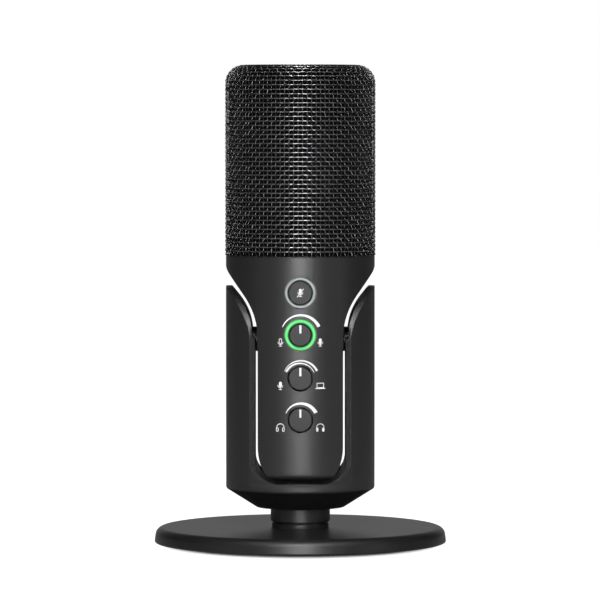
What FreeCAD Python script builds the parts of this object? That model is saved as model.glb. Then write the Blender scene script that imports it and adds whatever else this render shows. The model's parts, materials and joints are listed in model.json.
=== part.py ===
import FreeCAD, Part
import math
import os

# Desktop microphone: a side-address USB microphone that tilts in a U-shaped yoke, which turns on a round
# weighted base. Millimetres. The origin is the bottom centre of the base, +Z is up, the controls face -Y.

Vector = FreeCAD.Vector

# ---- Driving dimensions ----

# Base
BASE_R = 55.05
BASE_DRAFT = 0.75
BASE_TOP_Z = 6.2
BASE_TOP_ROUND = 3.0
BASE_BOTTOM_ROUND = 0.6
PAD_IN_FROM_EDGE = 4.25
PAD_BORE_SPARE = 1.8
PAD_STANDS_PROUD = 0.5
PAD_RECESS = 1.2
PAD_GROOVES_IN = (4.8, 16.8, 28.8)
PAD_GROOVE_WIDTH = 1.2
PAD_GROOVE_DEPTH = 0.35

# Post, stud and swivel
STUD_R = 4.76
STUD_HEAD_OVERHANG = 2.44
STUD_HEAD_HEIGHT = 2.7
STUD_SOCKET_ACROSS = 5.0
STUD_SOCKET_DEPTH = 1.8
STUD_INTO_STEM = 7.1
POST_WALL = 5.94
POST_HEIGHT = 1.8
POST_SPIGOT_WALL = 2.64
POST_SPIGOT_DEPTH = 1.3
SWIVEL_WASHER_IN = 0.8
SWIVEL_WASHER_THICKNESS = 0.33
STEM_WALL = 6.425
STEM_HEIGHT = 5.42
STEM_SPIGOT_WALL = 1.64
STEM_SPIGOT_HEIGHT = 3.0
STEM_EDGE = 0.3

# Yoke
BODY_R = 28.0
YOKE_FOOT_R = 16.55
YOKE_FOOT_ROUND = 0.6
YOKE_CONE_HEIGHT = 7.2
YOKE_CONE_ROUND = 1.2
COLLAR_ABOVE_CONE = 3.5
ARM_EDGE_THICKNESS = 1.94
ARM_ROOT_ROUND = 8.0
ARM_TOP_BELOW_PIVOT = 0.5
ARM_EDGE_ROUND = 0.5
YOKE_FLOOR = 3.9
CRADLE_GAP = 1.58
CRADLE_CORNER_R = 10.5
SIDE_GAP = 1.04
SHOULDER_GAP = 1.95
SWEEP_GAP = 0.4
TILT_LIMIT_DEG = 12.0
TILT_SPARE_DEG = 1.0

# Tilt pivot
PIVOT_BOSS_R = 4.63
PIVOT_BOSS_PROUD = 0.42
PIVOT_SHANK_R = 2.5
PIVOT_THREAD_R = 2.0
PIVOT_THREAD_LENGTH = 8.5
PIVOT_HEAD_R = 4.2
PIVOT_HEAD_HEIGHT = 2.0
PIVOT_SOCKET_ACROSS = 3.0
PIVOT_SPOTFACE_DEPTH = 0.4
BUSH_R = 3.95
BUSH_FLANGE_R = 6.0
BUSH_FLANGE_THICKNESS = 1.48
SPRING_WASHER_R = 4.4
SPRING_WASHER_THICKNESS = 0.7

# Housing
PIVOT_ABOVE_BOTTOM = 51.6
BODY_BOTTOM_ROUND = 2.5
HOUSING_WALL = 2.0
SIDE_FLAT_X = 15.88
SHOULDER_STARTS_ABOVE_PIVOT = 1.15
SHOULDER_ARC_R = 27.0
SHOULDER_SLOPE_DEG = 36.0
SHOULDER_STRAIGHT = 9.66
SHOULDER_TOP_R = 8.0
SHOULDER_END_DEG = 12.0
SHOULDER_RUN_OUT = 12.0
CORNER_WIDE = 7.0
CORNER_TALL = 12.5
BODY_HEIGHT = 83.2
COLLAR_EDGE = 0.35
CONTROL_WALL = 3.4
CONTROL_PAD_HALF_WIDTH = 8.5
DECK_LEDGE_WIDTH = 3.5
DECK_LEDGE_HEIGHT = 5.2

# Deck, grille and what it covers
DECK_THICKNESS = 2.0
GRILLE_OVERHANG = 0.15
GRILLE_WALL = 1.0
GRILLE_HEIGHT = 71.5
GRILLE_CORNER_R = 7.3
RING_WALL = 1.0
RING_HEIGHT = 4.5
RING_FLANGE_THICKNESS = 1.8
INNER_MESH_WALL = 0.4
FOAM_WALL = 3.0
CAPSULE_ABOVE_DECK = 41.3
CAPSULE_R = 7.3
CAPSULE_DEPTH = 7.0
CAPSULE_FACE_RIM = 1.1
MOUNT_WALL = 2.3
MOUNT_DEPTH = 5.0
BRIDGE_WALL = 2.5
BRIDGE_FOOT_HALF_LENGTH = 14.0
BRIDGE_FOOT_HALF_WIDTH = 7.0
BRIDGE_FOOT_THICKNESS = 2.0
BRIDGE_SCREW_IN_X = 2.0
BRIDGE_SCREW_IN_Y = 2.2
LEAD_R = 0.8
LEAD_BEHIND_FOOT = 1.5
LEAD_LANDS_BELOW_DECK = 10.7
LEAD_SOCKET_SIZE = 4.0
LEAD_SOCKET_DEPTH = 3.0
LEAD_BEND_R = 3.0

# Controls on the front
MUTE_UP = 70.0
GAIN_UP = 54.4
MIX_UP = 38.3
VOLUME_UP = 22.9
KNOB_R = 4.3
GAIN_KNOB_R = 4.05
KNOB_PROUD = 1.8
KNOB_LENGTH = 4.6
KNOB_EDGE_ROUND = 0.35
KNOB_HOLE_R = 4.85
POINTER_WIDTH = 0.75
POINTER_LENGTH = 3.35
POINTER_DEPTH = 0.5
SHAFT_R = 1.5
SHAFT_INTO_KNOB = 3.4
SHAFT_INTO_POT = 4.5
POT_HALF_WIDTH = 4.3
POT_HALF_HEIGHT = 4.75
POT_DEPTH = 7.0
POT_NECK_R = 2.6
POT_NECK_LENGTH = 2.4
RING_RECESS_DEPTH = 1.4
RING_PROUD = 0.1
LIGHT_RING_R = 5.9
LIGHT_RING_BORE_R = 4.4
LIGHT_RECESS_R = 6.25
LIGHT_LEG_R = 0.6
MUTE_RING_R = 5.8
MUTE_RING_BORE_R = 4.62
MUTE_RECESS_R = 6.15
BUTTON_R = 4.35
BUTTON_PROUD = 0.6
BUTTON_TRAVEL = 0.5
BUTTON_FLANGE_R = 5.3
BUTTON_FLANGE_THICKNESS = 0.8
PLUNGER_R = 1.6
SWITCH_HALF_WIDTH = 3.1
SWITCH_DEPTH = 3.4
SWITCH_NUB_R = 1.7
SWITCH_NUB_HEIGHT = 0.3

# Boards and chassis
BOARD_THICKNESS = 1.6
BOARD_SIDE_GAP = 1.28
CONTROL_BOARD_DEPTH = 13.0
CONTROL_BOARD_UP = 15.5
CONTROL_BOARD_BELOW_DECK = 3.2
CHASSIS_DEPTH = 5.0
CHASSIS_SIDE_GAP = 0.48
CHASSIS_UP = 14.5
CHASSIS_RAIL = 4.0
CHASSIS_BAR = 4.0
CHASSIS_LEG_WIDTH = 2.8
CHASSIS_LEG_GAP = 0.28
MAIN_BOARD_UP = 20.5
MAIN_BOARD_BELOW_DECK = 8.2
BOARD_SCREW_IN_X = 1.3
BOARD_SCREW_IN = 2.6
LED_SIZE = 1.4
LED_HEIGHT = 1.0
IO_BOARD_UP = 5.5
IO_BOARD_SIDE_GAP = 0.8
IO_BOARD_FRONT_Y = -4.0
IO_SCREW_IN_X = 1.6
IO_SCREW_Y = 4.0
IO_BOSS_R = 2.0

# Ports on the back
PORT_UP = 10.5
PORT_X = 5.5
PORT_POCKET_DEPTH = 3.6
PORT_WALL = 2.0
PORT_POCKET_HALF_WIDTH = 12.0
PORT_POCKET_HALF_HEIGHT = 5.4
PORT_POCKET_CORNER_R = 2.5
PORT_WINDOW_HALF_WIDTH = 10.6
PORT_WINDOW_HALF_HEIGHT = 4.0
PORT_WINDOW_CORNER_R = 1.0
BEZEL_THICKNESS = 1.4
USB_HALF_WIDTH = 4.47
USB_HALF_HEIGHT = 1.63
USB_SHEET = 0.3
USB_DEPTH = 7.3
USB_TONGUE_HALF_WIDTH = 3.35
USB_TONGUE_HALF_HEIGHT = 0.35
USB_TONGUE_SET_BACK = 1.0
USB_BACK_DEPTH = 1.7
USB_LEG = 0.6
JACK_BORE_R = 1.8
JACK_BORE_DEPTH = 14.0
JACK_HALF_WIDTH = 3.5
JACK_HALF_HEIGHT = 3.4
JACK_NOSE_R = 2.9
JACK_BACK = 1.0
PORT_SET_BACK = 0.2

# Bottom cover
COVER_IN_FROM_CORNER = 2.08
COVER_IN_FROM_EDGE = 9.2
COVER_THICKNESS = 1.2
COVER_CORNER_R = 3.0
COVER_LEDGE_SIDE = 1.5
COVER_LEDGE_END = 5.0
COVER_SCREW_IN = 2.5
COVER_BOSS_R = 2.2

# Small screws: radius of shank, radius of head, height of head
SMALL_SHANK_R = 1.0
SMALL_HEAD_R = 1.8
SMALL_HEAD_HEIGHT = 1.0
BOARD_SCREW_LENGTH = 4.6
DECK_SCREW_LENGTH = 6.0
COVER_SCREW_LENGTH = 2.8
COVER_HEAD_HEIGHT = 0.75
BRIDGE_SCREW_LENGTH = 4.0
STEM_SCREW_R = 1.25
STEM_SCREW_HEAD_R = 2.1
STEM_SCREW_HEAD_HEIGHT = 1.6
STEM_SCREW_OUT = 2.55
STEM_SCREW_SEAT = 1.8
STEM_SCREW_LENGTH = 5.0
STEM_SCREWS = 3
DRIVE_SLOT_SHARE = 0.5
DECK_SCREWS = 3
DECK_SCREW_IN = 1.8

# Clearances
FIT = 0.02
RUNNING = 0.05
LOOSE = 0.1
SLIP = 0.15
APART = 0.3

# ---- Heights and depths that follow ----

PAD_R = BASE_R - PAD_IN_FROM_EDGE
STUD_HEAD_R = STUD_R + STUD_HEAD_OVERHANG
PAD_BORE_R = STUD_HEAD_R + PAD_BORE_SPARE
POST_R = STUD_R + POST_WALL
POST_SPIGOT_R = STUD_R + POST_SPIGOT_WALL
SWIVEL_WASHER_R = POST_R - SWIVEL_WASHER_IN
STEM_R = STUD_R + STEM_WALL
STEM_SPIGOT_R = STUD_R + STEM_SPIGOT_WALL
STEM_SCREW_CIRCLE_R = STEM_SPIGOT_R + STEM_SCREW_OUT
PLATE_LOW_Z = PAD_STANDS_PROUD
PAD_TOP_Z = PLATE_LOW_Z + PAD_RECESS
STUD_SEAT_Z = PLATE_LOW_Z + LOOSE + STUD_HEAD_HEIGHT
POST_TOP_Z = BASE_TOP_Z + POST_HEIGHT
STEM_LOW_Z = POST_TOP_Z + SWIVEL_WASHER_THICKNESS + RUNNING
YOKE_LOW_Z = STEM_LOW_Z + STEM_HEIGHT
CONE_TOP_Z = YOKE_LOW_Z + YOKE_CONE_HEIGHT
ARM_ROOT_Z = CONE_TOP_Z + COLLAR_ABOVE_CONE
BOTTOM_REACH = math.hypot(BODY_R - BODY_BOTTOM_ROUND, PIVOT_ABOVE_BOTTOM - BODY_BOTTOM_ROUND)
CRADLE_R = BOTTOM_REACH + BODY_BOTTOM_ROUND + CRADLE_GAP
PIVOT_Z = YOKE_LOW_Z + YOKE_FLOOR + CRADLE_R
BODY_BOTTOM_Z = PIVOT_Z - PIVOT_ABOVE_BOTTOM
SHOULDER_START_Z = PIVOT_Z + SHOULDER_STARTS_ABOVE_PIVOT
COLLAR_TOP_Z = BODY_BOTTOM_Z + BODY_HEIGHT
GRILLE_TOP_Z = COLLAR_TOP_Z + GRILLE_HEIGHT
ARM_TOP_CENTRE_Z = PIVOT_Z - ARM_TOP_BELOW_PIVOT
ARM_INNER_X = SIDE_FLAT_X + SIDE_GAP
ARM_HALF_WIDTH = math.sqrt(BODY_R ** 2 - (ARM_INNER_X + ARM_EDGE_THICKNESS) ** 2)
BOSS_FACE_X = ARM_INNER_X - PIVOT_BOSS_PROUD
SPOTFACE_X = SIDE_FLAT_X - PIVOT_SPOTFACE_DEPTH
INNER_FLAT_X = SIDE_FLAT_X - HOUSING_WALL
INNER_R = BODY_R - HOUSING_WALL
FLOOR_Z = BODY_BOTTOM_Z + HOUSING_WALL
FLAT_BOTTOM_X = SIDE_FLAT_X - CORNER_WIDE
CONTROL_WALL_Y = -(BODY_R - CONTROL_WALL)
DECK_LOW_Z = COLLAR_TOP_Z - DECK_THICKNESS
LEDGE_LOW_Z = DECK_LOW_Z - DECK_LEDGE_HEIGHT
DECK_R = INNER_R
DECK_NECK_R = DECK_R - DECK_LEDGE_WIDTH
DECK_SCREW_CIRCLE_R = DECK_R - DECK_SCREW_IN
MUTE_Z = BODY_BOTTOM_Z + MUTE_UP
GAIN_Z = BODY_BOTTOM_Z + GAIN_UP
MIX_Z = BODY_BOTTOM_Z + MIX_UP
VOLUME_Z = BODY_BOTTOM_Z + VOLUME_UP
CONTROL_BOARD_FRONT_Y = -(BODY_R - CONTROL_BOARD_DEPTH)
CONTROL_BOARD_LOW_Z = BODY_BOTTOM_Z + CONTROL_BOARD_UP
CONTROL_BOARD_HIGH_Z = DECK_LOW_Z - CONTROL_BOARD_BELOW_DECK
MAIN_BOARD_LOW_Z = BODY_BOTTOM_Z + MAIN_BOARD_UP
MAIN_BOARD_HIGH_Z = DECK_LOW_Z - MAIN_BOARD_BELOW_DECK
BOARD_HALF_WIDTH = INNER_FLAT_X - BOARD_SIDE_GAP
BOARD_SCREW_X = BOARD_HALF_WIDTH - BOARD_SCREW_IN_X
CHASSIS_HALF_WIDTH = INNER_FLAT_X - CHASSIS_SIDE_GAP
CHASSIS_LOW_Z = BODY_BOTTOM_Z + CHASSIS_UP
CHASSIS_LEG_OUTER_X = FLAT_BOTTOM_X - CHASSIS_LEG_GAP
CHASSIS_LEG_INNER_X = CHASSIS_LEG_OUTER_X - CHASSIS_LEG_WIDTH
KNOB_FACE_Y = -(BODY_R + KNOB_PROUD)
KNOB_BACK_Y = KNOB_FACE_Y + KNOB_LENGTH
POT_FRONT_Y = CONTROL_BOARD_FRONT_Y - POT_DEPTH
RING_SEAT_Y = -(BODY_R - RING_RECESS_DEPTH)
RING_FACE_Y = -(BODY_R + RING_PROUD)
BUTTON_FACE_Y = -(BODY_R + BUTTON_PROUD)
CHASSIS_FRONT_Y = CONTROL_BOARD_FRONT_Y + BOARD_THICKNESS
CHASSIS_BACK_Y = CHASSIS_FRONT_Y + CHASSIS_DEPTH
MAIN_BOARD_BACK_Y = CHASSIS_BACK_Y + BOARD_THICKNESS
IO_BOARD_Z = BODY_BOTTOM_Z + IO_BOARD_UP
IO_BOARD_TOP_Z = IO_BOARD_Z + BOARD_THICKNESS
IO_BOARD_CORNER_SHARE = (CORNER_TALL - IO_BOARD_UP) / (CORNER_TALL - HOUSING_WALL)
IO_BOARD_CORNER_X = (CORNER_WIDE - HOUSING_WALL) * math.sqrt(1 - IO_BOARD_CORNER_SHARE ** 2)
IO_BOARD_HALF_WIDTH = FLAT_BOTTOM_X + IO_BOARD_CORNER_X - IO_BOARD_SIDE_GAP
IO_SCREW_X = IO_BOARD_HALF_WIDTH - IO_SCREW_IN_X
PORT_Z = BODY_BOTTOM_Z + PORT_UP
PORT_FACE_Y = BODY_R - PORT_POCKET_DEPTH
COVER_HALF_WIDTH = FLAT_BOTTOM_X - COVER_IN_FROM_CORNER
COVER_HALF_LENGTH = BODY_R - COVER_IN_FROM_EDGE
COVER_SCREW_Y = COVER_HALF_LENGTH - COVER_SCREW_IN
PORT_INNER_Y = PORT_FACE_Y - PORT_WALL
BEZEL_FACE_Y = PORT_FACE_Y + BEZEL_THICKNESS
PORT_FRONT_Y = BEZEL_FACE_Y - PORT_SET_BACK
RING_TOP_Z = COLLAR_TOP_Z + RING_HEIGHT
RING_FLANGE_TOP_Z = COLLAR_TOP_Z + RING_FLANGE_THICKNESS
GRILLE_R = BODY_R + GRILLE_OVERHANG
GRILLE_INNER_R = GRILLE_R - GRILLE_WALL
RING_OUTER_R = GRILLE_INNER_R - LOOSE
RING_FLANGE_R = DECK_NECK_R - LOOSE
CAPSULE_Z = COLLAR_TOP_Z + CAPSULE_ABOVE_DECK
BRIDGE_SCREW_X = BRIDGE_FOOT_HALF_LENGTH - BRIDGE_SCREW_IN_X
BRIDGE_SCREW_Y = -(BRIDGE_FOOT_HALF_WIDTH - BRIDGE_SCREW_IN_Y)
LEAD_Y = BRIDGE_FOOT_HALF_WIDTH + LEAD_BEHIND_FOOT
LEAD_LANDS_Z = DECK_LOW_Z - LEAD_LANDS_BELOW_DECK
BRIDGE_FOOT_TOP_Z = COLLAR_TOP_Z + BRIDGE_FOOT_THICKNESS
MOUNT_R = CAPSULE_R + MOUNT_WALL
BRIDGE_R = MOUNT_R + BRIDGE_WALL

KNOBS = {"gain": (GAIN_Z, GAIN_KNOB_R), "mix": (MIX_Z, KNOB_R), "volume": (VOLUME_Z, KNOB_R)}
BOTH_SIDES = (-1, 1)

# ---- Shapes used by many pieces ----


def upright(radius, low, high, x=0.0, y=0.0):
    """Cylinder along Z between two heights."""
    return Part.makeCylinder(radius, high - low, Vector(x, y, low))


def along_y(radius, front, back, z, x=0.0):
    """Cylinder along Y between its front and its back."""
    return Part.makeCylinder(radius, back - front, Vector(x, front, z), Vector(0, 1, 0))


def along_x(side, radius, inner, outer, z=PIVOT_Z):
    """Cylinder along X on one side, between two distances from the middle plane."""
    return Part.makeCylinder(radius, outer - inner, Vector(side * inner, 0, z), Vector(side, 0, 0))


def block(x, y, z):
    """Box from its ranges along X, Y and Z."""
    size = (x[1] - x[0], y[1] - y[0], z[1] - z[0])
    return Part.makeBox(*size, Vector(x[0], y[0], z[0]))


def spread(half, centre=0.0):
    """Range of the given half width about a centre."""
    return (centre - half, centre + half)


def rounded(solid, radius, wanted):
    """The solid with a round on each edge that the test picks."""
    return solid.makeFillet(radius, [edge for edge in solid.Edges if wanted(edge)])


def bevelled(solid, size, wanted):
    """The solid with a bevel on each edge that the test picks."""
    return solid.makeChamfer(size, [edge for edge in solid.Edges if wanted(edge)])


def lies_at(axis, value):
    """Test for an edge that lies in the plane where one coordinate has the value."""

    def wanted(edge):
        low = getattr(edge.BoundBox, axis + "Min")
        high = getattr(edge.BoundBox, axis + "Max")
        return abs(low - value) < FIT and abs(high - value) < FIT

    return wanted


def runs_along(axis):
    """Test for a straight edge that runs along one axis."""

    def wanted(edge):
        others = [name for name in "XYZ" if name != axis]
        return all(getattr(edge.BoundBox, name + "Length") < FIT for name in others)

    return wanted


def pillow_y(half_width, half_height, corner, front, back, x, z):
    """Bar along Y with a rounded rectangle as its section."""
    bar = block(spread(half_width, x), (front, back), spread(half_height, z))
    return rounded(bar, corner, runs_along("Y"))


def pillow_z(half_width, half_length, corner, low, high):
    """Plate with rounded corners between two heights."""
    return rounded(block(spread(half_width), spread(half_length), (low, high)), corner, runs_along("Z"))


def hexagon(across, low, high):
    """Hexagonal prism along Z."""
    reach = across / math.sqrt(3)
    corners = [Vector(reach * math.cos(turn), reach * math.sin(turn), low)
               for turn in (math.pi / 3 * step for step in range(7))]
    return Part.Face(Part.makePolygon(corners)).extrude(Vector(0, 0, high - low))


def turned(points):
    """Solid of revolution about Z from (radius, height) corners."""
    wire = Part.makePolygon([Vector(radius, 0, z) for radius, z in points + points[:1]])
    return Part.Face(wire).revolve(Vector(0, 0, 0), Vector(0, 0, 1), 360)


def screw(shank_r, head_r, head_height, length, seat, into, slot=DRIVE_SLOT_SHARE):
    """Screw with a cross recess, its head's underside at seat and its shank going into the work."""
    direction = Vector(*into)
    out = direction * -1
    shank = Part.makeCylinder(shank_r, length, Vector(*seat), direction)
    head = Part.makeCylinder(head_r, head_height, Vector(*seat), out)
    top = Vector(*seat) + out * head_height
    body = shank.fuse(head).removeSplitter()
    depth = head_height * slot
    across = Vector(0, 0, 1).cross(direction)
    if across.Length < 0.5:
        across = Vector(1, 0, 0)
    for way in (across, across.cross(direction)):
        arm = Part.makeBox(head_r * 1.2, head_r * 0.25, depth, Vector(-head_r * 0.6, -head_r * 0.125, 0))
        frame = FreeCAD.Rotation(way, Vector(), direction, "ZXY")
        arm.Placement = FreeCAD.Placement(top, frame)
        body = body.cut(arm)
    return body


def group(solids):
    """Separate solids of one node."""
    return Part.makeCompound(list(solids))


# ---- Outline of the housing, seen from the front ----


def point(across, up):
    """Point of the front outline."""
    return Vector(across, 0, up)


def arc(centre, radius, first, last):
    """Arc in the front plane between two angles in degrees."""
    turns = [math.radians(angle) for angle in (first, (first + last) / 2, last)]
    spokes = [point(math.cos(turn), math.sin(turn)) * radius for turn in turns]
    return Part.Arc(*[point(*centre) + spoke for spoke in spokes]).toShape()


def shoulder_edges(inset):
    """Right-hand shoulder from the flat side up past the collar, moved inwards by inset."""
    slope = math.radians(SHOULDER_SLOPE_DEG)
    end = math.radians(SHOULDER_END_DEG)
    centre = (SIDE_FLAT_X + SHOULDER_ARC_R, SHOULDER_START_Z)
    lower = arc(centre, SHOULDER_ARC_R + inset, 180, 180 - SHOULDER_SLOPE_DEG)
    foot = lower.Vertexes[-1].Point
    head = foot + Vector(math.sin(slope), 0, math.cos(slope)) * SHOULDER_STRAIGHT
    upper_r = SHOULDER_TOP_R - inset
    upper_centre = head + Vector(-math.cos(slope), 0, math.sin(slope)) * upper_r
    upper = arc((upper_centre.x, upper_centre.z), upper_r, -SHOULDER_SLOPE_DEG, -SHOULDER_END_DEG)
    brow = upper.Vertexes[-1].Point
    tip = brow + Vector(math.sin(end), 0, math.cos(end)) * SHOULDER_RUN_OUT
    return [lower, Part.makeLine(foot, head), upper, Part.makeLine(brow, tip)]


def symmetric_prism(edges, reach):
    """Prism along Y, whose section is the right-hand edges and their mirror image."""
    first = edges[0].Vertexes[0].Point
    last = edges[-1].Vertexes[-1].Point
    half = [Part.makeLine(point(0, first.z), first)] + edges + [Part.makeLine(last, point(0, last.z))]
    other = [edge.mirror(Vector(0, 0, 0), Vector(1, 0, 0)) for edge in half]
    face = Part.Face(Part.Wire(Part.__sortEdges__(half + other)))
    prism = face.extrude(Vector(0, 2 * reach, 0))
    prism.translate(Vector(0, -reach, 0))
    return prism


def corner_edge(inset):
    """Right-hand bottom corner, a quarter of an ellipse."""
    centre = point(SIDE_FLAT_X - CORNER_WIDE, BODY_BOTTOM_Z + CORNER_TALL)
    ellipse = Part.Ellipse(point(centre.x, centre.z - CORNER_TALL + inset),
                           point(centre.x + CORNER_WIDE - inset, centre.z), centre)
    return ellipse.toShape(0, math.pi / 2)


def body_prism(inset):
    """Front outline of the body, moved inwards by inset and run along Y."""
    corner = corner_edge(inset)
    shoulder = shoulder_edges(inset)
    side = Part.makeLine(corner.Vertexes[-1].Point, shoulder[0].Vertexes[0].Point)
    return symmetric_prism([corner, side] + shoulder, BODY_R + APART)


# ---- Stand ----


def base_plate():
    low = PLATE_LOW_Z
    plate = turned([(0, low), (BASE_R, low), (BASE_R - BASE_DRAFT, BASE_TOP_Z), (0, BASE_TOP_Z)])
    plate = rounded(plate, BASE_TOP_ROUND, lies_at("Z", BASE_TOP_Z))
    plate = rounded(plate, BASE_BOTTOM_ROUND, lies_at("Z", low))
    recess = upright(PAD_R + SLIP, low, PAD_TOP_Z).cut(upright(PAD_BORE_R - SLIP, low, PAD_TOP_Z))
    plate = plate.cut(recess)
    plate = plate.cut(upright(STUD_HEAD_R + SLIP, low, STUD_SEAT_Z))
    plate = plate.cut(upright(POST_SPIGOT_R + LOOSE, BASE_TOP_Z - POST_SPIGOT_DEPTH, BASE_TOP_Z))
    return plate.cut(upright(STUD_R + LOOSE, low, BASE_TOP_Z))


def base_pad():
    pad = upright(PAD_R, 0, PAD_TOP_Z).cut(upright(PAD_BORE_R, 0, PAD_TOP_Z))
    for inwards in PAD_GROOVES_IN:
        radius = PAD_R - inwards
        groove = upright(radius + PAD_GROOVE_WIDTH, 0, PAD_GROOVE_DEPTH)
        pad = pad.cut(groove.cut(upright(radius, 0, PAD_GROOVE_DEPTH)))
    return pad


def stud_bolt():
    head_low = STUD_SEAT_Z - STUD_HEAD_HEIGHT
    shank = upright(STUD_R, STUD_SEAT_Z, STEM_LOW_Z + STUD_INTO_STEM)
    shank = bevelled(shank, STEM_EDGE * 2, lies_at("Z", STEM_LOW_Z + STUD_INTO_STEM))
    bolt = upright(STUD_HEAD_R, head_low, STUD_SEAT_Z).fuse(shank)
    return bolt.cut(hexagon(STUD_SOCKET_ACROSS, head_low, head_low + STUD_SOCKET_DEPTH))


def stand_post():
    post = upright(POST_R, BASE_TOP_Z, POST_TOP_Z)
    post = bevelled(post, STEM_EDGE, lies_at("Z", POST_TOP_Z))
    post = post.fuse(upright(POST_SPIGOT_R, BASE_TOP_Z - POST_SPIGOT_DEPTH, BASE_TOP_Z))
    return post.cut(upright(STUD_R + FIT, 0, POST_TOP_Z)).removeSplitter()


def swivel_washer():
    high = POST_TOP_Z + SWIVEL_WASHER_THICKNESS
    return upright(SWIVEL_WASHER_R, POST_TOP_Z, high).cut(upright(STUD_R + LOOSE, POST_TOP_Z, high))


def stand():
    return {
        "base_plate": base_plate(),
        "base_pad": base_pad(),
        "stud_bolt": stud_bolt(),
        "stand_post": stand_post(),
        "swivel_washer": swivel_washer(),
    }


# ---- Yoke ----


def stem_screw_places():
    turns = [math.radians(90 + 360 / STEM_SCREWS * step) for step in range(STEM_SCREWS)]
    return [(STEM_SCREW_CIRCLE_R * math.cos(turn), STEM_SCREW_CIRCLE_R * math.sin(turn)) for turn in turns]


def yoke_stem():
    stem = upright(STEM_R, STEM_LOW_Z, YOKE_LOW_Z)
    stem = bevelled(stem, STEM_EDGE, lies_at("Z", STEM_LOW_Z))
    stem = stem.fuse(upright(STEM_SPIGOT_R, YOKE_LOW_Z, YOKE_LOW_Z + STEM_SPIGOT_HEIGHT))
    stem = stem.cut(upright(STUD_R + RUNNING, STEM_LOW_Z, STEM_LOW_Z + STUD_INTO_STEM + APART))
    seat = YOKE_LOW_Z + STEM_SCREW_SEAT
    for x, y in stem_screw_places():
        stem = stem.cut(upright(STEM_SCREW_R + FIT, seat - STEM_SCREW_LENGTH - LOOSE, seat, x, y))
    return stem.removeSplitter()


def arm_side_outline():
    """Outline of the yoke seen from the side: full width at the foot, then two upright arms in line."""
    inner = ARM_HALF_WIDTH
    root = (inner + ARM_ROOT_ROUND, ARM_ROOT_Z + ARM_ROOT_ROUND)
    half_root = ARM_ROOT_ROUND * math.sqrt(0.5)
    outer = root[0]

    def side(across, up):
        return Vector(0, across, up)

    edges = [
        Part.makeLine(side(0, YOKE_LOW_Z), side(outer, YOKE_LOW_Z)),
        Part.makeLine(side(outer, YOKE_LOW_Z), side(outer, ARM_ROOT_Z)),
        Part.Arc(side(outer, ARM_ROOT_Z), side(root[0] - half_root, root[1] - half_root),
                 side(inner, root[1])).toShape(),
        Part.makeLine(side(inner, root[1]), side(inner, ARM_TOP_CENTRE_Z)),
    ]
    top = Part.Arc(side(inner, ARM_TOP_CENTRE_Z), side(0, ARM_TOP_CENTRE_Z + inner),
                   side(-inner, ARM_TOP_CENTRE_Z)).toShape()
    mirrored = [edge.mirror(Vector(0, 0, 0), Vector(0, 1, 0)) for edge in edges]
    return Part.Face(Part.Wire(Part.__sortEdges__(edges + [top] + mirrored)))


def cradle():
    """Space swept by the lower body as it tilts: a drum about the tilt axis with rounded rims."""
    half = ARM_INNER_X
    flat = half - CRADLE_CORNER_R
    rim = CRADLE_R - CRADLE_CORNER_R
    reach = CRADLE_CORNER_R * math.sqrt(0.5)

    def down(across, radius):
        return Vector(across, 0, PIVOT_Z - radius)

    axle = Part.makeLine(down(-half, 0), down(half, 0))
    floor = Part.makeLine(down(-flat, CRADLE_R), down(flat, CRADLE_R))
    edges = [axle, floor]
    for side in BOTH_SIDES:
        edges.append(Part.makeLine(down(side * half, 0), down(side * half, rim)))
        middle = down(side * (flat + reach), rim + reach)
        edges.append(Part.Arc(down(side * half, rim), middle, down(side * flat, CRADLE_R)).toShape())
    face = Part.Face(Part.Wire(Part.__sortEdges__(edges)))
    return face.revolve(Vector(0, 0, PIVOT_Z), Vector(1, 0, 0), 360)


def cut_shoulder_way(yoke):
    """Cut the gap beside the body's shoulder, and the shoulder's way over the whole tilt, out of the arms."""
    sweep = TILT_LIMIT_DEG + TILT_SPARE_DEG
    pivot = Vector(0, 0, PIVOT_Z)
    axis = Vector(1, 0, 0)
    yoke = yoke.cut(symmetric_prism(shoulder_edges(-SHOULDER_GAP), BODY_R + APART))
    prism = symmetric_prism(shoulder_edges(-SWEEP_GAP), BODY_R + APART)
    reach = 2 * BODY_R
    tall = 2 * GRILLE_TOP_Z
    for way in BOTH_SIDES:
        half_space = block((-reach, reach), (0, tall) if way > 0 else (-tall, 0), (-tall, tall))
        wing = prism.common(half_space)
        wing.rotate(pivot, axis, -way * sweep)
        yoke = yoke.cut(wing)
    above = block((-reach, reach), (-FIT / 2, FIT / 2), (PIVOT_Z, tall))
    section = prism.common(above).slice(Vector(0, 1, 0), 0)
    fan = Part.Face(section[0]).revolve(pivot, axis, 2 * sweep)
    fan.rotate(pivot, axis, -sweep)
    return yoke.cut(fan)


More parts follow.
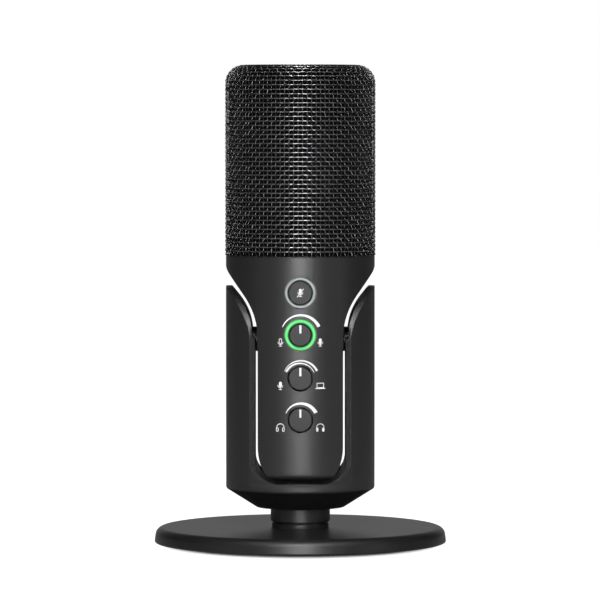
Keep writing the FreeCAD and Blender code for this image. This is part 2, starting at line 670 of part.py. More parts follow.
def yoke_frame():
    outside = turned([(0, YOKE_LOW_Z), (YOKE_FOOT_R, YOKE_LOW_Z), (BODY_R, CONE_TOP_Z),
                      (BODY_R, PIVOT_Z + BODY_R), (0, PIVOT_Z + BODY_R)])
    outside = rounded(outside, YOKE_CONE_ROUND, lies_at("Z", CONE_TOP_Z))
    outside = rounded(outside, YOKE_FOOT_ROUND, lies_at("Z", YOKE_LOW_Z))
    outline = arm_side_outline().extrude(Vector(2 * BODY_R + 2, 0, 0))
    outline.translate(Vector(-BODY_R - 1, 0, 0))
    yoke = outside.common(outline)
    rim = [edge for edge in yoke.Edges if edge.BoundBox.ZMax > ARM_ROOT_Z + FIT and not runs_along("X")(edge)]
    yoke = yoke.makeFillet(ARM_EDGE_ROUND, rim)
    yoke = yoke.cut(cradle())
    yoke = cut_shoulder_way(yoke)
    for side in BOTH_SIDES:
        yoke = yoke.fuse(along_x(side, PIVOT_BOSS_R, BOSS_FACE_X, ARM_INNER_X + PIVOT_BOSS_R))
    for side in BOTH_SIDES:
        end = BOSS_FACE_X + PIVOT_THREAD_LENGTH + LOOSE
        yoke = yoke.cut(along_x(side, PIVOT_THREAD_R + FIT, BOSS_FACE_X - LOOSE, end))
    yoke = yoke.cut(upright(STEM_SPIGOT_R + LOOSE, YOKE_LOW_Z, YOKE_LOW_Z + STEM_SPIGOT_HEIGHT + LOOSE))
    seat = YOKE_LOW_Z + STEM_SCREW_SEAT
    for x, y in stem_screw_places():
        yoke = yoke.cut(upright(STEM_SCREW_R + LOOSE, YOKE_LOW_Z, seat, x, y))
        yoke = yoke.cut(upright(STEM_SCREW_HEAD_R + LOOSE, seat, ARM_ROOT_Z, x, y))
    return yoke


def stem_screws():
    seat = YOKE_LOW_Z + STEM_SCREW_SEAT
    return group(screw(STEM_SCREW_R, STEM_SCREW_HEAD_R, STEM_SCREW_HEAD_HEIGHT, STEM_SCREW_LENGTH,
                       (x, y, seat), (0, 0, -1)) for x, y in stem_screw_places())


def pivot_stack(side):
    """Screw, friction washer and spring washer of one side, from their shared sizes."""
    flange_face = INNER_FLAT_X - BUSH_FLANGE_THICKNESS
    head_seat = flange_face - RUNNING - SPRING_WASHER_THICKNESS
    bore = PIVOT_SHANK_R + RUNNING
    bolt = along_x(side, PIVOT_SHANK_R, head_seat, BOSS_FACE_X)
    bolt = bolt.fuse(along_x(side, PIVOT_THREAD_R, BOSS_FACE_X, BOSS_FACE_X + PIVOT_THREAD_LENGTH))
    bolt = bolt.fuse(along_x(side, PIVOT_HEAD_R, head_seat - PIVOT_HEAD_HEIGHT, head_seat))
    socket = hexagon(PIVOT_SOCKET_ACROSS, 0, PIVOT_HEAD_HEIGHT / 2)
    socket.rotate(Vector(), Vector(0, 1, 0), side * 90)
    socket.translate(Vector(side * (head_seat - PIVOT_HEAD_HEIGHT), 0, PIVOT_Z))
    friction = along_x(side, PIVOT_BOSS_R, SPOTFACE_X + RUNNING, BOSS_FACE_X)
    friction = friction.cut(along_x(side, bore, SPOTFACE_X, BOSS_FACE_X))
    spring = along_x(side, SPRING_WASHER_R, head_seat, head_seat + SPRING_WASHER_THICKNESS)
    spring = spring.cut(along_x(side, bore, head_seat, head_seat + SPRING_WASHER_THICKNESS))
    return bolt.cut(socket), friction, spring


def yoke():
    stacks = [pivot_stack(side) for side in BOTH_SIDES]
    return {
        "yoke": yoke_frame(),
        "yoke_stem": yoke_stem(),
        "stem_screws": stem_screws(),
        "pivot_screws": group(stack[0] for stack in stacks),
        "friction_washers": group(stack[1] for stack in stacks),
        "spring_washers": group(stack[2] for stack in stacks),
    }


# ---- Housing and what closes it ----


def deck_screw_places():
    turns = [math.radians(90 + 360 / DECK_SCREWS * step) for step in range(DECK_SCREWS)]
    return [(DECK_SCREW_CIRCLE_R * math.cos(turn), DECK_SCREW_CIRCLE_R * math.sin(turn)) for turn in turns]


def housing_outside():
    drum = turned([(0, BODY_BOTTOM_Z), (BODY_R, BODY_BOTTOM_Z), (BODY_R, COLLAR_TOP_Z), (0, COLLAR_TOP_Z)])
    drum = rounded(drum, BODY_BOTTOM_ROUND, lies_at("Z", BODY_BOTTOM_Z))
    drum = bevelled(drum, COLLAR_EDGE, lies_at("Z", COLLAR_TOP_Z))
    return drum.common(body_prism(0))


def housing_inside():
    space = upright(INNER_R, FLOOR_Z, LEDGE_LOW_Z).common(body_prism(HOUSING_WALL))
    control_pad = block(spread(CONTROL_PAD_HALF_WIDTH), (-BODY_R, CONTROL_WALL_Y), (FLOOR_Z, LEDGE_LOW_Z))
    port_pad_top = PORT_Z + PORT_POCKET_HALF_HEIGHT + PORT_WALL
    port_pad = block(spread(BODY_R), (PORT_INNER_Y, BODY_R), (FLOOR_Z, port_pad_top))
    space = space.cut(control_pad).cut(port_pad)
    space = space.fuse(upright(DECK_NECK_R, LEDGE_LOW_Z, DECK_LOW_Z))
    return space.fuse(upright(DECK_R + LOOSE, DECK_LOW_Z, COLLAR_TOP_Z))


def housing():
    shell = housing_outside().cut(housing_inside())
    for x in (-IO_SCREW_X, IO_SCREW_X):
        shell = shell.fuse(upright(IO_BOSS_R, FLOOR_Z - LOOSE, IO_BOARD_Z, x, IO_SCREW_Y))
        low = IO_BOARD_TOP_Z - BOARD_SCREW_LENGTH - LOOSE
        shell = shell.cut(upright(SMALL_SHANK_R + FIT, low, IO_BOARD_Z, x, IO_SCREW_Y))
    for y in (-COVER_SCREW_Y, COVER_SCREW_Y):
        shell = shell.fuse(upright(COVER_BOSS_R, FLOOR_Z - LOOSE, IO_BOARD_Z - LOOSE, 0, y))
    shell = cut_bottom_opening(shell)
    shell = cut_controls(shell)
    shell = cut_ports(shell)
    for side in BOTH_SIDES:
        shell = shell.cut(along_x(side, BUSH_R + RUNNING, INNER_FLAT_X - APART, SIDE_FLAT_X))
        shell = shell.cut(along_x(side, PIVOT_BOSS_R + SLIP, SPOTFACE_X, SIDE_FLAT_X + SIDE_GAP))
    for x, y in deck_screw_places():
        low = RING_FLANGE_TOP_Z - SMALL_HEAD_HEIGHT - DECK_SCREW_LENGTH - LOOSE
        shell = shell.cut(upright(SMALL_SHANK_R + FIT, low, DECK_LOW_Z, x, y))
    return shell


def cut_bottom_opening(shell):
    low = BODY_BOTTOM_Z
    seat = low + COVER_THICKNESS
    recess = pillow_z(COVER_HALF_WIDTH + SLIP, COVER_HALF_LENGTH + SLIP, COVER_CORNER_R + SLIP, low, seat)
    window = pillow_z(COVER_HALF_WIDTH - COVER_LEDGE_SIDE, COVER_HALF_LENGTH - COVER_LEDGE_END,
                      COVER_CORNER_R / 2, seat, FLOOR_Z)
    shell = shell.cut(recess).cut(window)
    head_seat = low + RUNNING + COVER_HEAD_HEIGHT
    for y in (-COVER_SCREW_Y, COVER_SCREW_Y):
        top = head_seat + COVER_SCREW_LENGTH + LOOSE
        shell = shell.cut(upright(SMALL_SHANK_R + FIT, low, top, 0, y))
    return shell


def cut_controls(shell):
    outside = -BODY_R - 1
    inside = CONTROL_WALL_Y + LOOSE
    for z in (MIX_Z, VOLUME_Z):
        shell = shell.cut(along_y(KNOB_HOLE_R, outside, inside, z))
    mute = (MUTE_Z, MUTE_RECESS_R, MUTE_RING_BORE_R)
    gain = (GAIN_Z, LIGHT_RECESS_R, LIGHT_RING_BORE_R)
    for z, recess_r, bore_r in (mute, gain):
        shell = shell.cut(along_y(recess_r, outside, RING_SEAT_Y, z))
        shell = shell.cut(along_y(bore_r, outside, inside, z))
    for x in light_leg_places():
        shell = shell.cut(along_y(LIGHT_LEG_R + LOOSE, RING_SEAT_Y - LOOSE, inside, GAIN_Z, x))
    return shell


def cut_ports(shell):
    pocket = pillow_y(PORT_POCKET_HALF_WIDTH, PORT_POCKET_HALF_HEIGHT, PORT_POCKET_CORNER_R,
                      PORT_FACE_Y, BODY_R + 1, 0, PORT_Z)
    window = pillow_y(PORT_WINDOW_HALF_WIDTH, PORT_WINDOW_HALF_HEIGHT, PORT_WINDOW_CORNER_R,
                      PORT_INNER_Y, PORT_FACE_Y, 0, PORT_Z)
    return shell.cut(pocket).cut(window)


def bottom_cover():
    low = BODY_BOTTOM_Z
    cover = pillow_z(COVER_HALF_WIDTH, COVER_HALF_LENGTH, COVER_CORNER_R, low, low + COVER_THICKNESS)
    head_seat = low + RUNNING + COVER_HEAD_HEIGHT
    for y in (-COVER_SCREW_Y, COVER_SCREW_Y):
        cover = cover.cut(upright(SMALL_HEAD_R + LOOSE, low, head_seat, 0, y))
        cover = cover.cut(upright(SMALL_SHANK_R + LOOSE, low, low + COVER_THICKNESS, 0, y))
    return cover


def bottom_cover_screws():
    seat = BODY_BOTTOM_Z + RUNNING + COVER_HEAD_HEIGHT
    return group(screw(SMALL_SHANK_R, SMALL_HEAD_R, COVER_HEAD_HEIGHT, COVER_SCREW_LENGTH,
                       (0, y, seat), (0, 0, 1)) for y in (-COVER_SCREW_Y, COVER_SCREW_Y))


def pivot_bush(side):
    bush = along_x(side, BUSH_FLANGE_R, INNER_FLAT_X - BUSH_FLANGE_THICKNESS, INNER_FLAT_X)
    bush = bush.fuse(along_x(side, BUSH_R, INNER_FLAT_X, SPOTFACE_X - RUNNING))
    bore = along_x(side, PIVOT_SHANK_R + RUNNING, INNER_FLAT_X - 2 * BUSH_FLANGE_THICKNESS, SIDE_FLAT_X)
    return bush.cut(bore)


def closures():
    return {
        "housing": housing(),
        "bottom_cover": bottom_cover(),
        "bottom_cover_screws": bottom_cover_screws(),
        "pivot_bushes": group(pivot_bush(side) for side in BOTH_SIDES),
    }


# ---- Ports on the back ----


def port_bezel():
    bezel = pillow_y(PORT_POCKET_HALF_WIDTH - SLIP, PORT_POCKET_HALF_HEIGHT - SLIP,
                     PORT_POCKET_CORNER_R - SLIP, PORT_FACE_Y, BEZEL_FACE_Y, 0, PORT_Z)
    bezel = bevelled(bezel, APART, lies_at("Y", BEZEL_FACE_Y))
    bezel = bezel.cut(along_y(JACK_NOSE_R + SLIP, PORT_FACE_Y, BEZEL_FACE_Y, PORT_Z, PORT_X))
    return bezel.cut(pillow_y(USB_HALF_WIDTH + SLIP, USB_HALF_HEIGHT + SLIP, USB_HALF_HEIGHT,
                              PORT_FACE_Y, BEZEL_FACE_Y, -PORT_X, PORT_Z))


def usb_c_shell():
    back = PORT_FRONT_Y - USB_DEPTH
    shell = pillow_y(USB_HALF_WIDTH, USB_HALF_HEIGHT, USB_HALF_HEIGHT - LOOSE,
                     back, PORT_FRONT_Y, -PORT_X, PORT_Z)
    inner_height = USB_HALF_HEIGHT - USB_SHEET
    shell = shell.cut(pillow_y(USB_HALF_WIDTH - USB_SHEET, inner_height, inner_height - LOOSE,
                               back, PORT_FRONT_Y, -PORT_X, PORT_Z))
    for side in BOTH_SIDES:
        x = -PORT_X + side * (USB_HALF_WIDTH - USB_HALF_HEIGHT)
        depth = (back, PORT_INNER_Y - APART - LOOSE)
        leg = block(spread(USB_LEG, x), depth, (IO_BOARD_TOP_Z, PORT_Z - inner_height))
        shell = shell.fuse(leg)
    return shell.removeSplitter()


def usb_c_tongue():
    back = PORT_FRONT_Y - USB_DEPTH
    inner_height = USB_HALF_HEIGHT - USB_SHEET - FIT
    plug = pillow_y(USB_HALF_WIDTH - USB_SHEET - FIT, inner_height, inner_height - LOOSE,
                    back, back + USB_BACK_DEPTH, -PORT_X, PORT_Z)
    tongue = block(spread(USB_TONGUE_HALF_WIDTH, -PORT_X), (back, PORT_FRONT_Y - USB_TONGUE_SET_BACK),
                   spread(USB_TONGUE_HALF_HEIGHT, PORT_Z))
    return plug.fuse(tongue).removeSplitter()


def headphone_jack():
    back = PORT_FRONT_Y - JACK_BORE_DEPTH - JACK_BACK
    shoulder = PORT_FACE_Y - PORT_SET_BACK
    jack = block(spread(JACK_HALF_WIDTH, PORT_X), (back, shoulder), spread(JACK_HALF_HEIGHT, PORT_Z))
    jack = jack.fuse(along_y(JACK_NOSE_R, shoulder, PORT_FRONT_Y, PORT_Z, PORT_X))
    return jack.cut(along_y(JACK_BORE_R, back + JACK_BACK, PORT_FRONT_Y, PORT_Z, PORT_X))


def io_board():
    board = block(spread(IO_BOARD_HALF_WIDTH), (IO_BOARD_FRONT_Y, PORT_INNER_Y - APART),
                  (IO_BOARD_Z, IO_BOARD_TOP_Z))
    for x in (-IO_SCREW_X, IO_SCREW_X):
        board = board.cut(upright(SMALL_SHANK_R + LOOSE, IO_BOARD_Z, IO_BOARD_TOP_Z, x, IO_SCREW_Y))
    return board


def ports():
    return {
        "port_bezel": port_bezel(),
        "usb_c_shell": usb_c_shell(),
        "usb_c_tongue": usb_c_tongue(),
        "headphone_jack": headphone_jack(),
        "io_board": io_board(),
    }


# ---- Chassis and boards ----


def control_board_screw_places():
    heights = (CONTROL_BOARD_LOW_Z + BOARD_SCREW_IN, CONTROL_BOARD_HIGH_Z - BOARD_SCREW_IN)
    return [(side * BOARD_SCREW_X, z) for side in BOTH_SIDES for z in heights]


def main_board_screw_places():
    heights = (MAIN_BOARD_LOW_Z + BOARD_SCREW_IN, MAIN_BOARD_HIGH_Z - BOARD_SCREW_IN)
    return [(side * BOARD_SCREW_X, z) for side in BOTH_SIDES for z in heights]


def chassis_screw_places():
    y = (CHASSIS_FRONT_Y + CHASSIS_BACK_Y) / 2
    return [(side * (CHASSIS_HALF_WIDTH - CHASSIS_RAIL / 2), y) for side in BOTH_SIDES]


def chassis_frame():
    depth = (CHASSIS_FRONT_Y, CHASSIS_BACK_Y)
    frame = block(spread(CHASSIS_HALF_WIDTH), depth, (CHASSIS_LOW_Z, DECK_LOW_Z))
    window_half = CHASSIS_HALF_WIDTH - CHASSIS_RAIL
    middle = (MIX_Z + GAIN_Z) / 2
    lower = (CHASSIS_LOW_Z + CHASSIS_BAR, middle - CHASSIS_BAR / 2)
    upper = (middle + CHASSIS_BAR / 2, CONTROL_BOARD_HIGH_Z - CHASSIS_BAR)
    for heights in (lower, upper):
        frame = frame.cut(block(spread(window_half), depth, heights))
    for side in BOTH_SIDES:
        leg = sorted((side * CHASSIS_LEG_INNER_X, side * CHASSIS_LEG_OUTER_X))
        frame = frame.fuse(block(leg, depth, (FLOOR_Z, CHASSIS_LOW_Z)))
    for x, z in control_board_screw_places():
        end = CONTROL_BOARD_FRONT_Y + BOARD_SCREW_LENGTH + LOOSE
        frame = frame.cut(along_y(SMALL_SHANK_R + FIT, CHASSIS_FRONT_Y, end, z, x))
    for x, z in main_board_screw_places():
        end = MAIN_BOARD_BACK_Y - BOARD_SCREW_LENGTH - LOOSE
        frame = frame.cut(along_y(SMALL_SHANK_R + FIT, end, CHASSIS_BACK_Y, z, x))
    for x, y in chassis_screw_places():
        low = COLLAR_TOP_Z - DECK_SCREW_LENGTH - LOOSE
        frame = frame.cut(upright(SMALL_SHANK_R + FIT, low, DECK_LOW_Z, x, y))
    return frame.removeSplitter()


def control_board():
    depth = (CONTROL_BOARD_FRONT_Y, CHASSIS_FRONT_Y)
    board = block(spread(BOARD_HALF_WIDTH), depth, (CONTROL_BOARD_LOW_Z, CONTROL_BOARD_HIGH_Z))
    for x, z in control_board_screw_places():
        board = board.cut(along_y(SMALL_SHANK_R + LOOSE, *depth, z, x))
    return board


def main_board():
    depth = (CHASSIS_BACK_Y, MAIN_BOARD_BACK_Y)
    board = block(spread(BOARD_HALF_WIDTH), depth, (MAIN_BOARD_LOW_Z, MAIN_BOARD_HIGH_Z))
    for x, z in main_board_screw_places():
        board = board.cut(along_y(SMALL_SHANK_R + LOOSE, *depth, z, x))
    return board


def board_screws():
    screws = []
    for x, z in control_board_screw_places():
        screws.append(((x, CONTROL_BOARD_FRONT_Y, z), (0, 1, 0)))
    for x, z in main_board_screw_places():
        screws.append(((x, MAIN_BOARD_BACK_Y, z), (0, -1, 0)))
    for x in (-IO_SCREW_X, IO_SCREW_X):
        screws.append(((x, IO_SCREW_Y, IO_BOARD_TOP_Z), (0, 0, -1)))
    return group(screw(SMALL_SHANK_R, SMALL_HEAD_R, SMALL_HEAD_HEIGHT, BOARD_SCREW_LENGTH, seat, into)
                 for seat, into in screws)


def board_components():
    """Chips on the back of the main board, and the socket that takes the capsule lead."""
    back = MAIN_BOARD_BACK_Y
    low = MAIN_BOARD_LOW_Z
    converter = block(spread(3.5, -5.0), (back, back + 1.0), spread(3.5, low + 14.0))
    processor = block(spread(4.5, 5.0), (back, back + 1.2), spread(4.5, low + 16.0))
    amplifier = block(spread(2.5, 0.0), (back, back + 1.4), spread(2.0, low + 40.0))
    reservoir = along_y(2.0, back, back + 4.5, low + 6.0, 6.0)
    half = LEAD_SOCKET_SIZE / 2
    socket = block(spread(half), (back, back + LEAD_SOCKET_DEPTH), spread(half, LEAD_LANDS_Z))
    return group([converter, processor, amplifier, reservoir, socket])


def boards():
    return {
        "chassis_frame": chassis_frame(),
        "control_board": control_board(),
        "main_board": main_board(),
        "board_screws": board_screws(),
        "board_components": board_components(),
    }


# ---- Controls ----


def light_leg_places():
    reach = (LIGHT_RING_R + LIGHT_RING_BORE_R) / 2
    return (-reach, reach)


def pot(z):
    body = block(spread(POT_HALF_WIDTH), (POT_FRONT_Y, CONTROL_BOARD_FRONT_Y), spread(POT_HALF_HEIGHT, z))
    body = body.fuse(along_y(POT_NECK_R, POT_FRONT_Y - POT_NECK_LENGTH, POT_FRONT_Y, z))
    end = POT_FRONT_Y + SHAFT_INTO_POT + LOOSE
    return body.cut(along_y(SHAFT_R + RUNNING, POT_FRONT_Y - POT_NECK_LENGTH, end, z))


def knob_shaft(z):
    return along_y(SHAFT_R, KNOB_BACK_Y - SHAFT_INTO_KNOB, POT_FRONT_Y + SHAFT_INTO_POT, z)


def pointer_bar(z, radius, spare):
    """Bar in the knob's face, from the rim towards the middle."""
    top = z + radius - KNOB_EDGE_ROUND
    low = z + radius - POINTER_LENGTH
    depth = (KNOB_FACE_Y, KNOB_FACE_Y + POINTER_DEPTH + spare)
    return block(spread(POINTER_WIDTH / 2 + spare), depth, (low - spare, top + spare))


def knob_cap(z, radius):
    cap = along_y(radius, KNOB_FACE_Y, KNOB_BACK_Y, z)
    cap = rounded(cap, KNOB_EDGE_ROUND, lies_at("Y", KNOB_FACE_Y))
    cap = cap.cut(along_y(SHAFT_R + FIT, KNOB_BACK_Y - SHAFT_INTO_KNOB - LOOSE, KNOB_BACK_Y, z))
    return cap.cut(pointer_bar(z, radius, FIT))


def mute_button():
    cap = along_y(BUTTON_R, BUTTON_FACE_Y, CONTROL_WALL_Y + APART, MUTE_Z)
    cap = rounded(cap, KNOB_EDGE_ROUND, lies_at("Y", BUTTON_FACE_Y))
    front = CONTROL_WALL_Y + APART
    return cap.fuse(along_y(BUTTON_FLANGE_R, front, front + BUTTON_FLANGE_THICKNESS, MUTE_Z)).removeSplitter()


def mute_plunger():
    front = CONTROL_WALL_Y + APART + BUTTON_FLANGE_THICKNESS
    nub = CONTROL_BOARD_FRONT_Y - SWITCH_DEPTH - SWITCH_NUB_HEIGHT
    return along_y(PLUNGER_R, front, nub - BUTTON_TRAVEL - APART / 2, MUTE_Z)


def mute_switch():
    front = CONTROL_BOARD_FRONT_Y - SWITCH_DEPTH
    body = block(spread(SWITCH_HALF_WIDTH), (front, CONTROL_BOARD_FRONT_Y), spread(SWITCH_HALF_WIDTH, MUTE_Z))
    return body.fuse(along_y(SWITCH_NUB_R, front - SWITCH_NUB_HEIGHT, front, MUTE_Z))


def trim_ring(radius, bore, z):
    ring = along_y(radius, RING_FACE_Y, RING_SEAT_Y, z).cut(along_y(bore, RING_FACE_Y, RING_SEAT_Y, z))
    return bevelled(ring, LOOSE, lies_at("Y", RING_FACE_Y))


def gain_light_ring():
    ring = trim_ring(LIGHT_RING_R, LIGHT_RING_BORE_R, GAIN_Z)
    end = CONTROL_BOARD_FRONT_Y - LED_HEIGHT - APART
    for x in light_leg_places():
        ring = ring.fuse(along_y(LIGHT_LEG_R, RING_SEAT_Y, end, GAIN_Z, x))
    return ring


def control_leds():
    depth = (CONTROL_BOARD_FRONT_Y - LED_HEIGHT, CONTROL_BOARD_FRONT_Y)
    return group(block(spread(LED_SIZE / 2, x + math.copysign(LOOSE, x)), depth, spread(LED_SIZE / 2, GAIN_Z))
                 for x in light_leg_places())


def controls():
    nodes = {
        "mute_button": mute_button(),
        "mute_plunger": mute_plunger(),
        "mute_switch": mute_switch(),
        "mute_ring": trim_ring(MUTE_RING_R, MUTE_RING_BORE_R + FIT, MUTE_Z),
        "gain_light_ring": gain_light_ring(),
        "control_leds": control_leds(),
    }
    for name, (z, radius) in KNOBS.items():
        nodes[name + "_knob"] = knob_cap(z, radius)
        nodes[name + "_pointer"] = pointer_bar(z, radius, 0)
        nodes[name + "_shaft"] = knob_shaft(z)
        nodes[name + "_pot"] = pot(z)
    return nodes


# ---- Deck, capsule and grille ----


def deck_plate():
    deck = upright(DECK_R, DECK_LOW_Z, COLLAR_TOP_Z)
    for x, y in deck_screw_places() + chassis_screw_places():
        deck = deck.cut(upright(SMALL_SHANK_R + LOOSE, DECK_LOW_Z, COLLAR_TOP_Z, x, y))
    for x in (-BRIDGE_SCREW_X, BRIDGE_SCREW_X):
        deck = deck.cut(upright(SMALL_SHANK_R + FIT, DECK_LOW_Z, COLLAR_TOP_Z, x, BRIDGE_SCREW_Y))
    return deck.cut(upright(LEAD_R + APART, DECK_LOW_Z, COLLAR_TOP_Z, 0, LEAD_Y))


def deck_screws():
    ring_seat = RING_FLANGE_TOP_Z - SMALL_HEAD_HEIGHT
    seats = [(x, y, ring_seat) for x, y in deck_screw_places()]
    seats += [(x, y, COLLAR_TOP_Z) for x, y in chassis_screw_places()]
    return group(screw(SMALL_SHANK_R, SMALL_HEAD_R, SMALL_HEAD_HEIGHT, DECK_SCREW_LENGTH, seat, (0, 0, -1))
                 for seat in seats)


def capsule_bridge():
    heights = (COLLAR_TOP_Z, BRIDGE_FOOT_TOP_Z)
    foot = block(spread(BRIDGE_FOOT_HALF_LENGTH), spread(BRIDGE_FOOT_HALF_WIDTH), heights)
    half = MOUNT_DEPTH / 2
    bridge = along_y(BRIDGE_R, -half, half, CAPSULE_Z)
    for side in BOTH_SIDES:
        leg = sorted((side * (MOUNT_R + LOOSE), side * BRIDGE_R))
        bridge = bridge.fuse(block(leg, (-half, half), (COLLAR_TOP_Z, CAPSULE_Z)))
    bridge = bridge.fuse(foot).cut(along_y(MOUNT_R + LOOSE / 2, -half, half, CAPSULE_Z))
    for side in BOTH_SIDES:
        x = side * BRIDGE_SCREW_X
        bridge = bridge.cut(upright(SMALL_SHANK_R + LOOSE, *heights, x, BRIDGE_SCREW_Y))
    return bridge.removeSplitter()


def capsule_mount():
    half = MOUNT_DEPTH / 2
    ring = along_y(MOUNT_R, -half, half, CAPSULE_Z)
    return ring.cut(along_y(CAPSULE_R + FIT, -half, half, CAPSULE_Z))


def capsule():
    half = CAPSULE_DEPTH / 2
    can = along_y(CAPSULE_R, -half, half, CAPSULE_Z)
    face = along_y(CAPSULE_R - CAPSULE_FACE_RIM, -half, -half + CAPSULE_FACE_RIM / 2, CAPSULE_Z)
    return can.cut(face)


def bend(corner, before, after, radius):
    """Arc that rounds a square corner of the lead's route."""
    start = corner + before * radius
    end = corner + after * radius
    middle = corner + (before + after) * (radius * (1 - math.sqrt(0.5)))
    return start, Part.Arc(start, middle, end).toShape(), end


def capsule_lead():
    back = Vector(0, 1, 0)
    down = Vector(0, 0, -1)
    start = Vector(0, CAPSULE_DEPTH / 2, CAPSULE_Z)
    finish = Vector(0, MAIN_BOARD_BACK_Y + LEAD_SOCKET_DEPTH, LEAD_LANDS_Z)
    upper = bend(Vector(0, LEAD_Y, CAPSULE_Z), back * -1, down, LEAD_BEND_R)
    lower = bend(Vector(0, LEAD_Y, LEAD_LANDS_Z), down * -1, back * -1, LEAD_BEND_R)
    route = Part.Wire([Part.makeLine(start, upper[0]), upper[1], Part.makeLine(upper[2], lower[0]), lower[1],
                       Part.makeLine(lower[2], finish)])
    section = Part.Wire(Part.makeCircle(LEAD_R, start, back))
    return route.makePipeShell([section], True, True)


def bridge_screws():
    return group(screw(SMALL_SHANK_R, SMALL_HEAD_R, SMALL_HEAD_HEIGHT, BRIDGE_SCREW_LENGTH,
                       (x, BRIDGE_SCREW_Y, BRIDGE_FOOT_TOP_Z), (0, 0, -1))
                 for x in (-BRIDGE_SCREW_X, BRIDGE_SCREW_X))


def cup(outer_r, wall, low, high, corner_r):
    """Thin cup upside down, with a rounded rim at its closed top."""

    def dome(radius, top, corner):
        drum = upright(radius, low, top)
        return rounded(drum, corner, lies_at("Z", top))

    return dome(outer_r, high, corner_r).cut(dome(outer_r - wall, high - wall, corner_r - wall))


def grille_ring():
    ring = upright(RING_OUTER_R, COLLAR_TOP_Z, RING_TOP_Z)
    ring = ring.cut(upright(RING_OUTER_R - RING_WALL, RING_FLANGE_TOP_Z, RING_TOP_Z))
    ring = ring.cut(upright(RING_FLANGE_R, COLLAR_TOP_Z, RING_TOP_Z))
    seat = RING_FLANGE_TOP_Z - SMALL_HEAD_HEIGHT
    for x, y in deck_screw_places():
        ring = ring.cut(upright(SMALL_SHANK_R + LOOSE, COLLAR_TOP_Z, seat, x, y))
        ring = ring.cut(upright(SMALL_HEAD_R + LOOSE, seat, RING_FLANGE_TOP_Z, x, y))
    return ring


def grille():
    fine_r = GRILLE_INNER_R - 2 * LOOSE
    fine_top = GRILLE_TOP_Z - GRILLE_WALL - LOOSE
    fine_corner = GRILLE_CORNER_R - GRILLE_WALL - LOOSE
    foam_r = RING_OUTER_R - RING_WALL - LOOSE
    foam_top = fine_top - INNER_MESH_WALL - LOOSE
    foam_corner = fine_corner - INNER_MESH_WALL - LOOSE
    return {
        "grille_mesh": cup(GRILLE_R, GRILLE_WALL, COLLAR_TOP_Z, GRILLE_TOP_Z, GRILLE_CORNER_R),
        "grille_inner_mesh": cup(fine_r, INNER_MESH_WALL, RING_TOP_Z, fine_top, fine_corner),
        "grille_foam": cup(foam_r, FOAM_WALL, RING_FLANGE_TOP_Z, foam_top, foam_corner),
        "grille_ring": grille_ring(),
    }


def pickup():
    return {
        "deck_plate": deck_plate(),
        "deck_screws": deck_screws(),
        "capsule_bridge": capsule_bridge(),
        "bridge_screws": bridge_screws(),
        "capsule_mount": capsule_mount(),
        "capsule": capsule(),
        "capsule_lead": capsule_lead(),
    }


def build():
    """Write every node to its own file."""
    os.makedirs("parts", exist_ok=True)
    for section in (stand, yoke, closures, ports, boards, controls, pickup, grille):
        for name, shape in section().items():
            if not shape.isValid():
                raise ValueError(name + " is not a valid shape")
            shape.exportStep("parts/" + name + ".step")
            print(name, len(shape.Solids), round(shape.Volume, 1))


build()
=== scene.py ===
import json
import math
import bpy
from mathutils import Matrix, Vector


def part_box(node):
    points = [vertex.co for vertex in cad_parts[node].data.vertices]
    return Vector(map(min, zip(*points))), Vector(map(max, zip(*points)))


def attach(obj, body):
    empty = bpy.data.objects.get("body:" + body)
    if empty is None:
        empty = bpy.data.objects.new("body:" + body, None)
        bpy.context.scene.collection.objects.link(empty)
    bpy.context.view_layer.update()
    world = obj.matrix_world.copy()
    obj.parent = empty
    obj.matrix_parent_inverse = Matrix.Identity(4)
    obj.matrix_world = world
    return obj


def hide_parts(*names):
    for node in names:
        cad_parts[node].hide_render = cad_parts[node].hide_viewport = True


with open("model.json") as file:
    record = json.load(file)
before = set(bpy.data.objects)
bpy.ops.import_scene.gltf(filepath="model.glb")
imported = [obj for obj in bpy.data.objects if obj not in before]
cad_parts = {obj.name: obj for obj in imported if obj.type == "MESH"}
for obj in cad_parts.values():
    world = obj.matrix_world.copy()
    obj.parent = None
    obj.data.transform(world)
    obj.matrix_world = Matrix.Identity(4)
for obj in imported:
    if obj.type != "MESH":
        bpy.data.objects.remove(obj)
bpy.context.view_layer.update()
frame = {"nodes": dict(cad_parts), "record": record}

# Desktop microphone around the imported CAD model: the woven grille, the white print and pictograms, and the
# finishes. Everything is in metres; most places come from the CAD nodes' boxes.

MM = 0.001
SLOTS = {part["node"]: part["material_slot"] for part in frame["record"]["subparts"]}

# ---- Places, most of them taken from the CAD ----

HOUSING_LOW, HOUSING_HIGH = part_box("housing")
BODY_R = -HOUSING_LOW.y
GRILLE_LOW, GRILLE_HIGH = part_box("grille_mesh")
GRILLE_R = GRILLE_HIGH.x
CONTROLS = {name: sum(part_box(name + "_knob"), Vector()) / 2 for name in ("gain", "mix", "volume")}
BUTTON_LOW, BUTTON_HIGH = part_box("mute_button")

# The narrow faces of the yoke's arms along the body lie inside this width and outside this depth.
ARM_EDGE_X = 18.75 * MM
ARM_EDGE_Y = 20.2 * MM
ARM_EDGE_Z = HOUSING_LOW.z - 3 * MM

# ---- Meshes ----


def piece(name, points, faces, body, slot, smooth=True, finish=None):
    """Closed mesh that rides on a CAD body, in the finish of its slot or in a variant of it."""
    mesh = bpy.data.meshes.new(name)
    mesh.from_pydata(points, [], faces)
    mesh.validate()
    if smooth:
        mesh.shade_smooth()
    shape = bpy.data.objects.new(name, mesh)
    bpy.context.scene.collection.objects.link(shape)
    mesh.materials.append(MATERIALS[finish or slot])
    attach(shape, body)
    return shape


# ---- Materials ----

